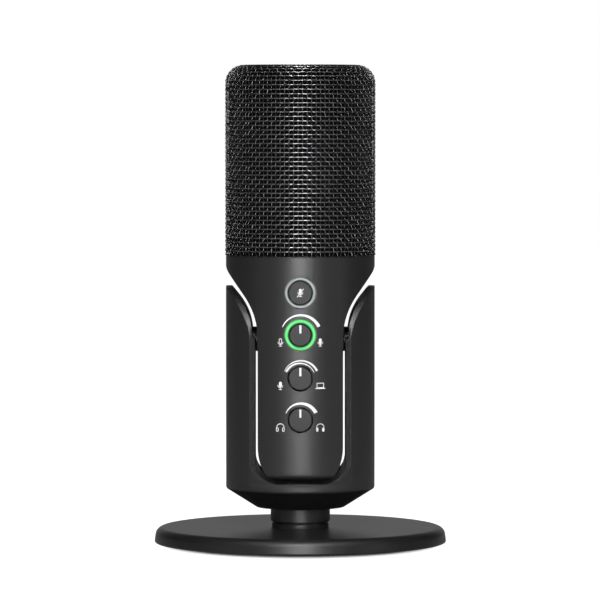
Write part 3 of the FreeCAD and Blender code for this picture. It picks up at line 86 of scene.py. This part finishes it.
BROAD_GRAIN = 9 * MM
FINE_DETAIL = 3.0
BROAD_DETAIL = 2.0
GRAIN_DIPS = 0.3
GRAIN_PEAKS = 0.7
FULL_BUMP = 1.0


def mapped(nodes, links, value, low, high, at_low=0.0, at_high=1.0, bend="LINEAR"):
    """Value carried from one range to another and held at its ends."""
    step = nodes.new("ShaderNodeMapRange")
    step.interpolation_type = bend
    step.inputs["From Min"].default_value = low
    step.inputs["From Max"].default_value = high
    step.inputs["To Min"].default_value = at_low
    step.inputs["To Max"].default_value = at_high
    links.new(value, step.inputs["Value"])
    return step.outputs["Result"]


def combined(nodes, links, how, one, other):
    """Two values put together by a math step; either may be a plain number."""
    step = nodes.new("ShaderNodeMath")
    step.operation = how
    for value, socket in ((one, step.inputs[0]), (other, step.inputs[1])):
        if isinstance(value, float):
            socket.default_value = value
        else:
            links.new(value, socket)
    return step.outputs[0]


def parted(nodes, links, coordinate):
    """The X, Y and Z of a texture coordinate, as three values by name."""
    place = nodes.new("ShaderNodeTexCoord")
    split = nodes.new("ShaderNodeSeparateXYZ")
    links.new(place.outputs[coordinate], split.inputs["Vector"])
    return split.outputs


def grained(name, colour, roughness, grain, depth, metallic=0.0, specular=0.5, shade=0.12, polish=0.08):
    """Surface whose colour and roughness vary a little, with a fine grain in its bump."""
    material = bpy.data.materials.new(name)
    material.use_nodes = True
    nodes, links = material.node_tree.nodes, material.node_tree.links
    shader = nodes["Principled BSDF"]
    shader.inputs["Metallic"].default_value = metallic
    shader.inputs["Specular IOR Level"].default_value = specular
    place = nodes.new("ShaderNodeTexCoord")

    def noise(size, detail):
        texture = nodes.new("ShaderNodeTexNoise")
        texture.inputs["Scale"].default_value = 1 / size
        texture.inputs["Detail"].default_value = detail
        links.new(place.outputs["Object"], texture.inputs["Vector"])
        return texture.outputs["Fac"]

    fine = noise(grain, FINE_DETAIL)
    broad = noise(BROAD_GRAIN, BROAD_DETAIL)
    tint = nodes.new("ShaderNodeMixRGB")
    tint.inputs["Color1"].default_value = [channel * (1 - shade) for channel in colour] + [1]
    tint.inputs["Color2"].default_value = [min(1, channel * (1 + shade)) for channel in colour] + [1]
    links.new(broad, tint.inputs["Fac"])
    links.new(tint.outputs["Color"], shader.inputs["Base Color"])
    matt = mapped(nodes, links, fine, GRAIN_DIPS, GRAIN_PEAKS, roughness - polish, roughness + polish)
    links.new(matt, shader.inputs["Roughness"])
    bump = nodes.new("ShaderNodeBump")
    bump.inputs["Distance"].default_value = depth
    bump.inputs["Strength"].default_value = FULL_BUMP
    links.new(fine, bump.inputs["Height"])
    links.new(bump.outputs["Normal"], shader.inputs["Normal"])
    return material


# A generated coordinate runs from nought to one over the piece's box, so a ring's edge is half the box from
# its middle. The holes are shares of the ring's width. The rings' edges are darkened with painted shade:
# from an edge to the middle of the ring, the colour is the edge's shade colour up to RING_EDGE_SHADE of the
# way and the full one from RING_FULL_COLOUR on.
RING_EDGE = 0.5
GREEN_RING_HOLE = 0.746
GREY_RING_HOLE = 0.797
RING_EDGE_SHADE = 0.1
RING_FULL_COLOUR = 0.75


def ring_middle(nodes, links, hole_share):
    """One along the middle of a flat ring and nought at its two edges."""
    place = parted(nodes, links, "Generated")
    across = combined(nodes, links, "SUBTRACT", place["X"], RING_EDGE)
    along = combined(nodes, links, "SUBTRACT", place["Z"], RING_EDGE)
    across = combined(nodes, links, "POWER", across, 2.0)
    along = combined(nodes, links, "POWER", along, 2.0)
    reach = combined(nodes, links, "POWER", combined(nodes, links, "ADD", across, along), 0.5)
    hole = RING_EDGE * hole_share
    past_middle = combined(nodes, links, "SUBTRACT", reach, (RING_EDGE + hole) / 2)
    off = combined(nodes, links, "ABSOLUTE", past_middle, 0.0)
    return mapped(nodes, links, off, 0.0, (RING_EDGE - hole) / 2, 1.0, 0.0)


def shaded_ring(name, edge_shade_colour, colour, hole_share, strength=0.0):
    """Ring with painted shade at its two edges, so it is lighter along its middle; it glows, lit from
    behind, if it has a strength.
    """
    material = grained(name, colour, 0.4, 0.4 * MM, 0.005 * MM)
    nodes, links = material.node_tree.nodes, material.node_tree.links
    shader = nodes["Principled BSDF"]
    # Painted shade: the colour, and the glow if there is one, darken from the ring's middle to its edges.
    tint = nodes.new("ShaderNodeMixRGB")
    tint.inputs["Color1"].default_value = (*edge_shade_colour, 1)
    tint.inputs["Color2"].default_value = (*colour, 1)
    middle = ring_middle(nodes, links, hole_share)
    links.new(mapped(nodes, links, middle, RING_EDGE_SHADE, RING_FULL_COLOUR), tint.inputs["Fac"])
    links.new(tint.outputs["Color"], shader.inputs["Base Color"])
    if strength:
        links.new(tint.outputs["Color"], shader.inputs["Emission Color"])
        shader.inputs["Emission Strength"].default_value = strength
    return material


ARM_FADE_X = 0.1 * MM
ARM_FADE_Y = 0.4 * MM
ARM_FADE_Z = 2 * MM
ARM_EDGE_MATT = 0.5


def matt_arm_edges(material):
    """Makes the narrow faces of the yoke's arms along the body rougher than the rest of the paint."""
    nodes, links = material.node_tree.nodes, material.node_tree.links
    place = parted(nodes, links, "Object")
    wide = combined(nodes, links, "ABSOLUTE", place["X"], 0.0)
    deep = combined(nodes, links, "ABSOLUTE", place["Y"], 0.0)
    inside = mapped(nodes, links, wide, ARM_EDGE_X - ARM_FADE_X, ARM_EDGE_X + ARM_FADE_X, 1.0, 0.0)
    outside = mapped(nodes, links, deep, ARM_EDGE_Y - ARM_FADE_Y, ARM_EDGE_Y)
    high = mapped(nodes, links, place["Z"], ARM_EDGE_Z, ARM_EDGE_Z + ARM_FADE_Z)
    edge = combined(nodes, links, "MULTIPLY", inside, outside)
    edge = combined(nodes, links, "MULTIPLY", edge, high)
    socket = nodes["Principled BSDF"].inputs["Roughness"]
    polished = socket.links[0].from_socket
    matt = mapped(nodes, links, edge, 0.0, 1.0, 0.0, ARM_EDGE_MATT)
    links.new(combined(nodes, links, "ADD", polished, matt), socket)
    return material


def wire_metal(name, colour, roughness):
    """Smooth metal of a thin wire."""
    return grained(name, colour, roughness, 0.12 * MM, 0.0003 * MM, metallic=1.0, polish=0.03)


MATERIALS = {
    "base_paint": grained("base_paint", (0.01, 0.01, 0.011), 0.4, 0.18 * MM, 0.002 * MM),
    "yoke_paint": matt_arm_edges(
        grained("yoke_paint", (0.01, 0.01, 0.0105), 0.46, 0.16 * MM, 0.002 * MM, specular=0.8)),
    "housing_paint": grained(
        "housing_paint", (0.007, 0.007, 0.0075), 0.41, 0.16 * MM, 0.0015 * MM, specular=0.85),
    # The rings and the upright wires are one wire. The rings take a lighter copy of its metal and the
    # upright wires a darker one: painted light and shade, so that the rings' highlighted lines stand out.
    "grille_wire": wire_metal("grille_wire", (0.32, 0.32, 0.325), 0.28),
    "upright_wire_shaded_copy": wire_metal("upright_wire_shaded_copy", (0.11, 0.11, 0.112), 0.26),
    # Near-black matt with hardly any gloss: the inner mesh's own black deepened with painted shade for the
    # dark inside of the grille, also used as painted shade on the retaining ring there.
    "inner_mesh": grained("inner_mesh", (0.002, 0.002, 0.002), 0.9, 0.3 * MM, 0.1 * MM, specular=0.05),
    "steel": grained("steel", (0.42, 0.42, 0.43), 0.34, 0.1 * MM, 0.004 * MM, metallic=1.0),
    "rubber": grained("rubber", (0.018, 0.018, 0.018), 0.8, 0.3 * MM, 0.03 * MM),
    "nylon": grained("nylon", (0.022, 0.022, 0.023), 0.55, 0.2 * MM, 0.012 * MM),
    "knob_plastic": grained("knob_plastic", (0.016, 0.016, 0.017), 0.5, 0.14 * MM, 0.006 * MM),
    "white_mark": grained("white_mark", (0.85, 0.86, 0.86), 0.5, 0.1 * MM, 0.003 * MM, shade=0.03),
    # The light ring glows, lit from behind; its glow and colour are darkened at its edges with painted
    # shade.
    "green_light": shaded_ring(
        "green_light", (0.01, 0.17, 0.03), (0.06, 0.62, 0.13), GREEN_RING_HOLE, strength=0.35),
    # The grey ring around the mute button is darkened at its edges with painted shade.
    "ring_grey": shaded_ring("ring_grey", (0.07, 0.085, 0.085), (0.3, 0.34, 0.335), GREY_RING_HOLE),
    # The foam's own black, deepened to near-black with painted shade for the dark inside of the grille.
    "foam": grained("foam", (0.002, 0.002, 0.002), 0.95, 0.5 * MM, 0.15 * MM, specular=0.05),
    "board": grained("board", (0.01, 0.06, 0.03), 0.45, 0.3 * MM, 0.01 * MM),
    "component": grained("component", (0.03, 0.03, 0.032), 0.5, 0.2 * MM, 0.01 * MM),
    "chassis": grained("chassis", (0.3, 0.3, 0.31), 0.4, 0.2 * MM, 0.008 * MM, metallic=1.0),
    "deck": grained("deck", (0.014, 0.014, 0.015), 0.6, 0.25 * MM, 0.015 * MM, specular=0.3),
    "contact_metal": grained("contact_metal", (0.55, 0.54, 0.52), 0.3, 0.1 * MM, 0.003 * MM, metallic=1.0),
    "capsule_metal": grained("capsule_metal", (0.6, 0.55, 0.42), 0.32, 0.15 * MM, 0.004 * MM, metallic=1.0),
    "lead": grained("lead", (0.02, 0.02, 0.02), 0.5, 0.2 * MM, 0.01 * MM),
}

# Parts right behind the weave that are painted into shade with the near-black inner_mesh material.
BEHIND_THE_WEAVE = ("grille_inner_mesh", "grille_ring")


def finish_cad_nodes():
    """Each CAD node takes the material of its slot; the parts right behind the woven grille take a
    near-black matt one instead, painted shade for the dark inside of the grille.
    """
    for name, node in frame["nodes"].items():
        finish = "inner_mesh" if name in BEHIND_THE_WEAVE else SLOTS[name]
        node.data.materials.clear()
        node.data.materials.append(MATERIALS[finish])


# ---- Woven grille ----

UPRIGHT_WIRE_R = 0.18 * MM
ROUND_WIRE_R = 0.2 * MM
UPRIGHT_CRIMP = 0.3 * MM
ROUND_CRIMP = 0.07 * MM
WEAVE_PROUD = 0.17 * MM
WEAVE_STEP = 1.674 * MM
WIRES_ACROSS = 26
WIRE_SIDES = 5
STEPS_PER_WIRE = 4
STEEP = 0.5
GRILLE_CORNER_R = 6.4 * MM

# The weave of the top is square and reaches SQUARE_R along the cup from its middle. Past it the wires run
# straight on in equal steps, and the rings cross them.
GRILLE_MID_R = GRILLE_R + WEAVE_PROUD - UPRIGHT_CRIMP - UPRIGHT_WIRE_R
FLAT_R = GRILLE_MID_R - GRILLE_CORNER_R
GRILLE_MID_TOP = GRILLE_HIGH.z - UPRIGHT_CRIMP - UPRIGHT_WIRE_R
SQUARE_R = 23.05 * MM
CORNER_LENGTH = GRILLE_CORNER_R * math.pi / 2
SIDE_LENGTH = GRILLE_MID_TOP - GRILLE_CORNER_R - GRILLE_LOW.z
STEPS_BELOW_SQUARE = (FLAT_R + CORNER_LENGTH + SIDE_LENGTH - SQUARE_R) / WEAVE_STEP
RINGS = int(STEPS_BELOW_SQUARE)


def on_grille(reach, turn, rise):
    """Point of the cup at a distance along it from its middle, at a turn, raised off the middle surface."""
    if reach < FLAT_R:
        radius, z = reach, GRILLE_MID_TOP + rise
    elif reach < FLAT_R + CORNER_LENGTH:
        bend = (reach - FLAT_R) / GRILLE_CORNER_R
        radius = FLAT_R + (GRILLE_CORNER_R + rise) * math.sin(bend)
        z = GRILLE_MID_TOP - GRILLE_CORNER_R + (GRILLE_CORNER_R + rise) * math.cos(bend)
    else:
        radius = GRILLE_MID_R + rise
        z = GRILLE_MID_TOP - GRILLE_CORNER_R - (reach - FLAT_R - CORNER_LENGTH)
    return Vector((radius * math.cos(turn), radius * math.sin(turn), z))


def weave_place(across, along):
    """Reach and turn where two wires of the square weave cross, counted from the middle of the top."""
    half = WIRES_ACROSS / 2
    inside = max(-1.0, min(1.0, along / half))
    u = math.sqrt(2) * math.sin(across / half * math.pi / 4)
    v = math.sqrt(2) * math.sin(inside * math.pi / 4)
    x = u * math.sqrt(1 - v * v / 2)
    y = v * math.sqrt(1 - u * u / 2)
    beyond = max(0.0, abs(along) - half) * WEAVE_STEP
    return SQUARE_R * math.hypot(x, y) + beyond, math.atan2(y, x)


def tube(points, closed, radius):
    """Points and faces of a round wire along a line, turned by the way out of the cup where it is steep."""
    ring = []
    count = len(points)
    for index, middle in enumerate(points):
        before = points[index - 1] if closed or index else middle
        after = points[(index + 1) % count] if closed or index < count - 1 else middle
        ahead = (after - before).normalized()
        outward = Vector((middle.x, middle.y, 0)).normalized()
        if abs(ahead.z) < STEEP:
            outward = Vector((0, 0, 1))
        side = ahead.cross(outward).normalized()
        up = side.cross(ahead)
        for corner in range(WIRE_SIDES):
            angle = 2 * math.pi * corner / WIRE_SIDES
            ring.append(middle + radius * (math.cos(angle) * side + math.sin(angle) * up))
    faces = []
    for index in range(count if closed else count - 1):
        here, there = index * WIRE_SIDES, (index + 1) % count * WIRE_SIDES
        for corner in range(WIRE_SIDES):
            beside = (corner + 1) % WIRE_SIDES
            faces.append((here + corner, here + beside, there + beside, there + corner))
    if not closed:
        faces.append(tuple(range(WIRE_SIDES - 1, -1, -1)))
        last = (count - 1) * WIRE_SIDES
        faces.append(tuple(range(last, last + WIRE_SIDES)))
    return ring, faces


def long_wire(number, turned):
    """Line of a wire up one side of the cup, over its top and down the other; turned by 0 or 1 quarters."""
    across = number + 0.5 - WIRES_ACROSS / 2
    furthest = WIRES_ACROSS / 2 + STEPS_BELOW_SQUARE
    steps = round(2 * furthest * STEPS_PER_WIRE)
    points = []
    for step in range(steps + 1):
        along = (2 * step / steps - 1) * furthest
        reach, turn = weave_place(across, along)
        phase = along - 0.5 + number + turned
        rise = UPRIGHT_CRIMP * math.cos(math.pi * phase)
        points.append(on_grille(reach, turn + turned * math.pi / 2, rise))
    return points


def ring_wire(number):
    """Line of a wire that runs round the cup, over and under the upright wires."""
    reach = SQUARE_R + (number + 0.5) * WEAVE_STEP
    around = 4 * WIRES_ACROSS
    points = []
    for step in range(around * STEPS_PER_WIRE):
        count = step / STEPS_PER_WIRE
        turn = math.pi / 4 + (count + 0.5) / around * 2 * math.pi
        rise = -ROUND_CRIMP * math.cos(math.pi * (count + number))
        points.append(on_grille(reach, turn, rise))
    return points


def wires(name, lines, closed, radius, finish):
    """One piece from many wires."""
    points, faces = [], []
    for line in lines:
        ring, skin = tube(line, closed, radius)
        faces.extend(tuple(corner + len(points) for corner in face) for face in skin)
        points.extend(ring)
    return piece(name, points, faces, "mic", "grille_wire", finish=finish)


def woven_grille():
    """Wires that cross over the cup both ways and, down its side, wires that run round it."""
    forward = [long_wire(number, 0) for number in range(WIRES_ACROSS)]
    sideways = [long_wire(number, 1) for number in range(WIRES_ACROSS)]
    around = [ring_wire(number) for number in range(RINGS)]
    # The upright wires take the darker copy of the wire metal, which is painted shade.
    front = wires("grille_wires_front_to_back", forward, False, UPRIGHT_WIRE_R, "upright_wire_shaded_copy")
    side = wires("grille_wires_side_to_side", sideways, False, UPRIGHT_WIRE_R, "upright_wire_shaded_copy")
    rings = wires("grille_wires_around", around, True, ROUND_WIRE_R, "grille_wire")
    for shape in (front, side, rings):
        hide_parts("grille_mesh")


BEAD_R = 0.2 * MM
BEAD_PROUD = 0.02 * MM
BEAD_STEPS = 240


def collar_bead():
    """Thin bead round the top edge of the housing, under the grille."""
    reach = BODY_R - BEAD_R + BEAD_PROUD
    turns = [2 * math.pi * step / BEAD_STEPS for step in range(BEAD_STEPS)]
    line = [Vector((reach * math.cos(turn), reach * math.sin(turn), HOUSING_HIGH.z)) for turn in turns]
    points, faces = tube(line, True, BEAD_R)
    piece("collar_bead", points, faces, "mic", "housing_paint")


# ---- White print and pictograms ----

PRINT_PROUD = 0.06 * MM
PRINT_SUNK = 0.04 * MM
STROKE = 0.24 * MM
SIGN_SIDE = 7.4 * MM
SIGN_DROP = 2.9 * MM
ARC_HALF_DEG = 66.0
ARC_PARTS = 16
CURVE_STEP_DEG = 4.0
FULLY_ROUND = 0.98
CROSS_LENGTH = 4.0 * MM
CROSS_DEG = 52

# The scales over the knobs: the knob, then the outer and the inner radius at the left and the right end.
SCALES = {
    "gain_scale": ("gain", (7.4 * MM, 8.1 * MM), (7.1 * MM, 6.9 * MM)),
    "mix_scale_outer": ("mix", (6.5 * MM, 7.16 * MM), (6.3 * MM, 6.35 * MM)),
    "mix_scale_inner": ("mix", (6.1 * MM, 5.6 * MM), (5.36 * MM, 5.4 * MM)),
    "volume_scale": ("volume", (6.0 * MM, 7.0 * MM), (5.75 * MM, 5.6 * MM)),
}


def arc(radius, first, last, x, y):
    """Points of a round stretch about a place, between two angles in degrees."""
    count = max(2, round(abs(last - first) / CURVE_STEP_DEG))
    turns = [math.radians(first + (last - first) * step / count) for step in range(count + 1)]
    return [(x + radius * math.cos(turn), y + radius * math.sin(turn)) for turn in turns]


def bar(half_width, half_height, x, y, corner=0.05 * MM):
    """Outline of a rectangle about a place, with rounded corners."""
    wide, tall = half_width - corner, half_height - corner
    outline = []
    for side_x, side_y, first in ((1, 1, 0), (-1, 1, 90), (-1, -1, 180), (1, -1, 270)):
        outline += arc(corner, first, first + 90, x + side_x * wide, y + side_y * tall)
    return outline


def band(inner, outer, first, last, x=0.0, y=0.0):
    """Outline of a round band; its two radii may change evenly from one end to the other."""
    count = max(2, round(abs(last - first) / CURVE_STEP_DEG))
    sides = []
    for near, far in (outer, inner):
        side = []
        for step in range(count + 1):
            share = step / count
            radius = near + (far - near) * share
            turn = math.radians(first + (last - first) * share)
            side.append((x + radius * math.cos(turn), y + radius * math.sin(turn)))
        sides.append(side)
    return sides[0] + sides[1][::-1]


def slanted(length, half_width, angle):
    """Outline of a straight bar about its middle, turned by an angle in degrees."""
    turn = math.radians(angle)
    along, aside = Vector((math.cos(turn), math.sin(turn))), Vector((-math.sin(turn), math.cos(turn)))
    ends = ((1, 1), (-1, 1), (-1, -1), (1, -1))
    corners = [along * (a * length / 2) + aside * (b * half_width) for a, b in ends]
    return [(corner.x, corner.y) for corner in corners]


def microphone_sign(filled):
    """Outlines of a small microphone in a cup on a stand, filled or hollow."""
    half, tall, middle = 0.55 * MM, 1.0 * MM, 0.6 * MM
    cup_r, cup_middle = 1.05 * MM, middle - 0.3 * MM
    stem_half, stem_drop = 0.22 * MM, 0.2 * MM
    foot_half, foot_drop = 0.6 * MM, 0.5 * MM
    shapes = [[bar(half, tall, 0, middle, half * FULLY_ROUND)]]
    if not filled:
        shapes[0].append(bar(half - STROKE, tall - STROKE, 0, middle, (half - STROKE) * FULLY_ROUND))
    shapes.append([band((cup_r - STROKE, cup_r - STROKE), (cup_r, cup_r), 180, 360, 0, cup_middle)])
    cup_low = cup_middle - cup_r
    shapes.append([bar(STROKE / 2, stem_half, 0, cup_low - stem_drop)])
    shapes.append([bar(foot_half, STROKE / 2, 0, cup_low - foot_drop)])
    return shapes


def headphones_sign(filled):
    """Outlines of small headphones, with filled or hollow cups."""
    bow_r = 1.5 * MM
    cup_inset, cup_middle = 0.38 * MM, -0.76 * MM
    cup_half, cup_tall, cup_corner = 0.42 * MM, 0.75 * MM, 0.3 * MM
    hollow_half, hollow_tall, hollow_corner = 0.2 * MM, 0.5 * MM, 0.15 * MM
    shapes = [[band((bow_r - STROKE, bow_r - STROKE), (bow_r, bow_r), 0, 180)]]
    for side in (-1, 1):
        cup_x = side * (bow_r - cup_inset)
        cup = [bar(cup_half, cup_tall, cup_x, cup_middle, cup_corner)]
        if not filled:
            cup.append(bar(hollow_half, hollow_tall, cup_x, cup_middle, hollow_corner))
        shapes.append(cup)
    return shapes


def laptop_sign():
    """Outlines of a small laptop: a hollow screen over a row of bars, which overlap into one."""
    half, tall, middle = 1.35 * MM, 0.95 * MM, 0.25 * MM
    outer_corner, inner_corner, key_corner = 0.15 * MM, 0.05 * MM, 0.02 * MM
    key_half, key_tall, key_middle = 0.47 * MM, 0.17 * MM, -0.86 * MM
    screen = [bar(half, tall, 0, middle, outer_corner)]
    screen.append(bar(half - STROKE, tall - STROKE, 0, middle, inner_corner))
    keys = []
    for share in (-1, -1 / 3, 1 / 3, 1):
        keys.append([bar(key_half, key_tall, share * half, key_middle, key_corner)])
    return [screen] + keys


def flat_shape(outlines, depth):
    """Thin closed mesh of a flat outline with its holes, as points and faces."""
    curve = bpy.data.curves.new("outline", "CURVE")
    curve.dimensions = "2D"
    curve.fill_mode = "BOTH"
    curve.extrude = depth / 2
    for outline in outlines:
        spline = curve.splines.new("POLY")
        spline.points.add(len(outline) - 1)
        for spot, (x, y) in zip(spline.points, outline):
            spot.co = (x, y, 0, 1)
        spline.use_cyclic_u = True
    holder = bpy.data.objects.new("outline", curve)
    mesh = bpy.data.meshes.new_from_object(holder)
    points = [spot.co.copy() for spot in mesh.vertices]
    faces = [tuple(face.vertices) for face in mesh.polygons]
    bpy.data.objects.remove(holder)
    bpy.data.meshes.remove(mesh)
    bpy.data.curves.remove(curve)
    return points, faces


def printed(name, shapes, x, z, body, bend=True, face_y=0.0):
    """White print on the housing's round front, or on a flat face at a depth."""
    points, faces = [], []
    depth = PRINT_PROUD + PRINT_SUNK
    for outlines in shapes:
        flat, skin = flat_shape(outlines, depth)
        faces.extend(tuple(corner + len(points) for corner in face) for face in skin)
        for spot in flat:
            proud = spot.z + depth / 2 - PRINT_SUNK
            across = x + spot.x
            y = -math.sqrt((BODY_R + proud) ** 2 - across ** 2) if bend else face_y - proud
            points.append(Vector((across, y, z + spot.y)))
    piece(name, points, faces, body, "white_mark", smooth=False)


def scale_arc(outer_radii, inner_radii):
    """Arc over a knob as short lengths, each of which follows the round front."""
    outer_left, outer_right = outer_radii
    inner_left, inner_right = inner_radii
    shapes = []
    for part in range(ARC_PARTS):
        near, far = part / ARC_PARTS, (part + 1) / ARC_PARTS
        inner = [inner_left + (inner_right - inner_left) * share for share in (near, far)]
        outer = [outer_left + (outer_right - outer_left) * share for share in (near, far)]
        first, last = (90 + ARC_HALF_DEG * (1 - 2 * share) for share in (near, far))
        shapes.append([band(inner, outer, first, last)])
    return shapes


def print_on_front():
    """Scales, the signs beside the knobs and the crossed microphone on the button."""
    for name, (knob, outer_radii, inner_radii) in SCALES.items():
        printed(name, scale_arc(outer_radii, inner_radii), 0, CONTROLS[knob].z, "mic")
    signs = (
        ("gain_sign_low", microphone_sign(False), "gain", -1),
        ("gain_sign_high", microphone_sign(True), "gain", 1),
        ("mix_sign_microphone", microphone_sign(True), "mix", -1),
        ("mix_sign_computer", laptop_sign(), "mix", 1),
        ("volume_sign_low", headphones_sign(False), "volume", -1),
        ("volume_sign_high", headphones_sign(True), "volume", 1),
    )
    for name, shapes, knob, side in signs:
        printed(name, shapes, side * SIGN_SIDE, CONTROLS[knob].z - SIGN_DROP, "mic")
    button = (BUTTON_LOW + BUTTON_HIGH) / 2
    crossed = microphone_sign(True) + [[slanted(CROSS_LENGTH, STROKE / 2, CROSS_DEG)]]
    printed("mute_sign", crossed, 0, button.z, "mute_button", bend=False, face_y=BUTTON_LOW.y)


# ---- Stage, lights and camera ----

CAMERA_PLACE = (-0.00013, -1.69, 0.165)
CAMERA_AIM = (-0.00013, 0, 0.0917)
CAMERA_LENS = 269.5
SENSOR_WIDTH = 36.0
CLIP_START = 0.05

# The floor, and the ring in which its light fades in, which leaves a painted shadow round the base's front:
# how far its middle lies in front of the object's, and its two radii.
FLOOR_HALF = 6.0
FLOOR_GREY = 0.35
FLOOR_ROUGHNESS = 0.9
SHADE_FORWARD = 12 * MM
SHADE_EDGE = 43 * MM
SHADE_END = 52 * MM
SHADE_LIFT = 0.1
REFLECTED_LIFT = 0.1

# The surroundings: the level of the room, and of the patch behind the object with where it sets in.
ROOM_LEVEL = 0.03
BACKDROP_FROM = 0.8
BACKDROP_FULL = 0.98
BACKDROP_LEVEL = 0.5

# The lamps, all aimed at LIT_SPOT: name, place, width, height, power in watts and spread in degrees.
LIT_SPOT = (0, 0, 0.09)
LAMPS = (
    ("high_strip", (0, -1.25, 1.0), 0.34, 0.5, 1.2, 50.0),
    ("low_strip", (0, -1.5, 0.3), 0.22, 0.35, 0.75, 50.0),
    ("left_wing", (-1.3, -0.7, 0.4), 0.5, 1.0, 0.08, 60.0),
    ("right_wing", (1.3, -0.7, 0.4), 0.5, 1.0, 0.14, 60.0),
    ("wide_high", (0, -0.8, 1.3), 2.0, 0.3, 7.0, 180.0),
)


def aimed(thing, place, target):
    """Places a lamp or the camera and turns it to its target."""
    thing.location = place
    thing.rotation_euler = (Vector(target) - Vector(place)).to_track_quat("-Z", "Y").to_euler()


def softbox(name, place, width, height, power, spread):
    """Rectangular soft lamp aimed at the object, whose light opens by its spread in degrees."""
    lamp = bpy.data.lights.new(name, "AREA")
    lamp.shape = "RECTANGLE"
    lamp.size, lamp.size_y = width, height
    lamp.energy = power
    lamp.spread = math.radians(spread)
    holder = bpy.data.objects.new(name, lamp)
    bpy.context.scene.collection.objects.link(holder)
    aimed(holder, place, LIT_SPOT)


def floor_lift(nodes, links):
    """Light the floor gives off: white where it is seen, but faint in gloss and faint round the base's
    front, which paints a shadow there around the real contact shadow.
    """
    place = nodes.new("ShaderNodeTexCoord")
    forward = nodes.new("ShaderNodeVectorMath")
    forward.operation = "ADD"
    forward.inputs[1].default_value = (0, SHADE_FORWARD, 0)
    links.new(place.outputs["Object"], forward.inputs[0])
    reach = nodes.new("ShaderNodeVectorMath")
    reach.operation = "LENGTH"
    links.new(forward.outputs["Vector"], reach.inputs[0])
    # Painted shadow: the lift fades out towards the base's front, so that the grey floor shows dark there.
    share = mapped(nodes, links, reach.outputs["Value"], SHADE_EDGE, SHADE_END)
    seen = mapped(nodes, links, share, 0.0, 1.0, SHADE_LIFT, 1.0)
    path = nodes.new("ShaderNodeLightPath")
    glossy, through = path.outputs["Is Glossy Ray"], path.outputs["Is Transmission Ray"]
    mirrored = combined(nodes, links, "MAXIMUM", glossy, through)
    mirrored = combined(nodes, links, "MULTIPLY", mirrored, REFLECTED_LIFT)
    direct = combined(nodes, links, "MULTIPLY", path.outputs["Is Camera Ray"], seen)
    return combined(nodes, links, "MAXIMUM", direct, mirrored)


def pale_floor():
    """Matt floor that is lifted to white where it is seen, except for a painted shadow round the base's
    front.
    """
    mesh = bpy.data.meshes.new("floor")
    corners = [(-1, -1), (1, -1), (1, 1), (-1, 1)]
    mesh.from_pydata([(x * FLOOR_HALF, y * FLOOR_HALF, 0) for x, y in corners], [], [(0, 1, 2, 3)])
    floor = bpy.data.objects.new("floor", mesh)
    bpy.context.scene.collection.objects.link(floor)
    material = bpy.data.materials.new("floor")
    material.use_nodes = True
    nodes, links = material.node_tree.nodes, material.node_tree.links
    shader = nodes["Principled BSDF"]
    shader.inputs["Base Color"].default_value = (FLOOR_GREY, FLOOR_GREY, FLOOR_GREY, 1)
    shader.inputs["Roughness"].default_value = FLOOR_ROUGHNESS
    shader.inputs["Specular IOR Level"].default_value = 0.0
    shader.inputs["Emission Color"].default_value = (1, 1, 1, 1)
    links.new(floor_lift(nodes, links), shader.inputs["Emission Strength"])
    mesh.materials.append(material)


def studio_world():
    """White where it is seen; the object is lit by a dim room that is brighter straight behind it."""
    world = bpy.data.worlds.new("studio")
    world.use_nodes = True
    bpy.context.scene.world = world
    nodes, links = world.node_tree.nodes, world.node_tree.links
    background = nodes["Background"]
    background.inputs["Color"].default_value = (1, 1, 1, 1)
    depth = parted(nodes, links, "Generated")["Y"]
    backdrop = mapped(
        nodes, links, depth, BACKDROP_FROM, BACKDROP_FULL, ROOM_LEVEL, BACKDROP_LEVEL, "SMOOTHSTEP")
    path = nodes.new("ShaderNodeLightPath")
    level = combined(nodes, links, "MAXIMUM", backdrop, path.outputs["Is Camera Ray"])
    links.new(level, background.inputs["Strength"])


def stage_and_lights():
    """Floor, surroundings, lamps, camera and the plain view transform."""
    pale_floor()
    studio_world()
    for name, place, width, height, power, spread in LAMPS:
        softbox(name, place, width, height, power, spread)
    lens = bpy.data.cameras.new("camera")
    lens.lens = CAMERA_LENS
    lens.sensor_width = SENSOR_WIDTH
    lens.clip_start = CLIP_START
    camera = bpy.data.objects.new("camera", lens)
    bpy.context.scene.collection.objects.link(camera)
    aimed(camera, CAMERA_PLACE, CAMERA_AIM)
    bpy.context.scene.camera = camera
    bpy.context.scene.view_settings.view_transform = "Standard"


finish_cad_nodes()
woven_grille()
collar_bead()
print_on_front()
stage_and_lights()
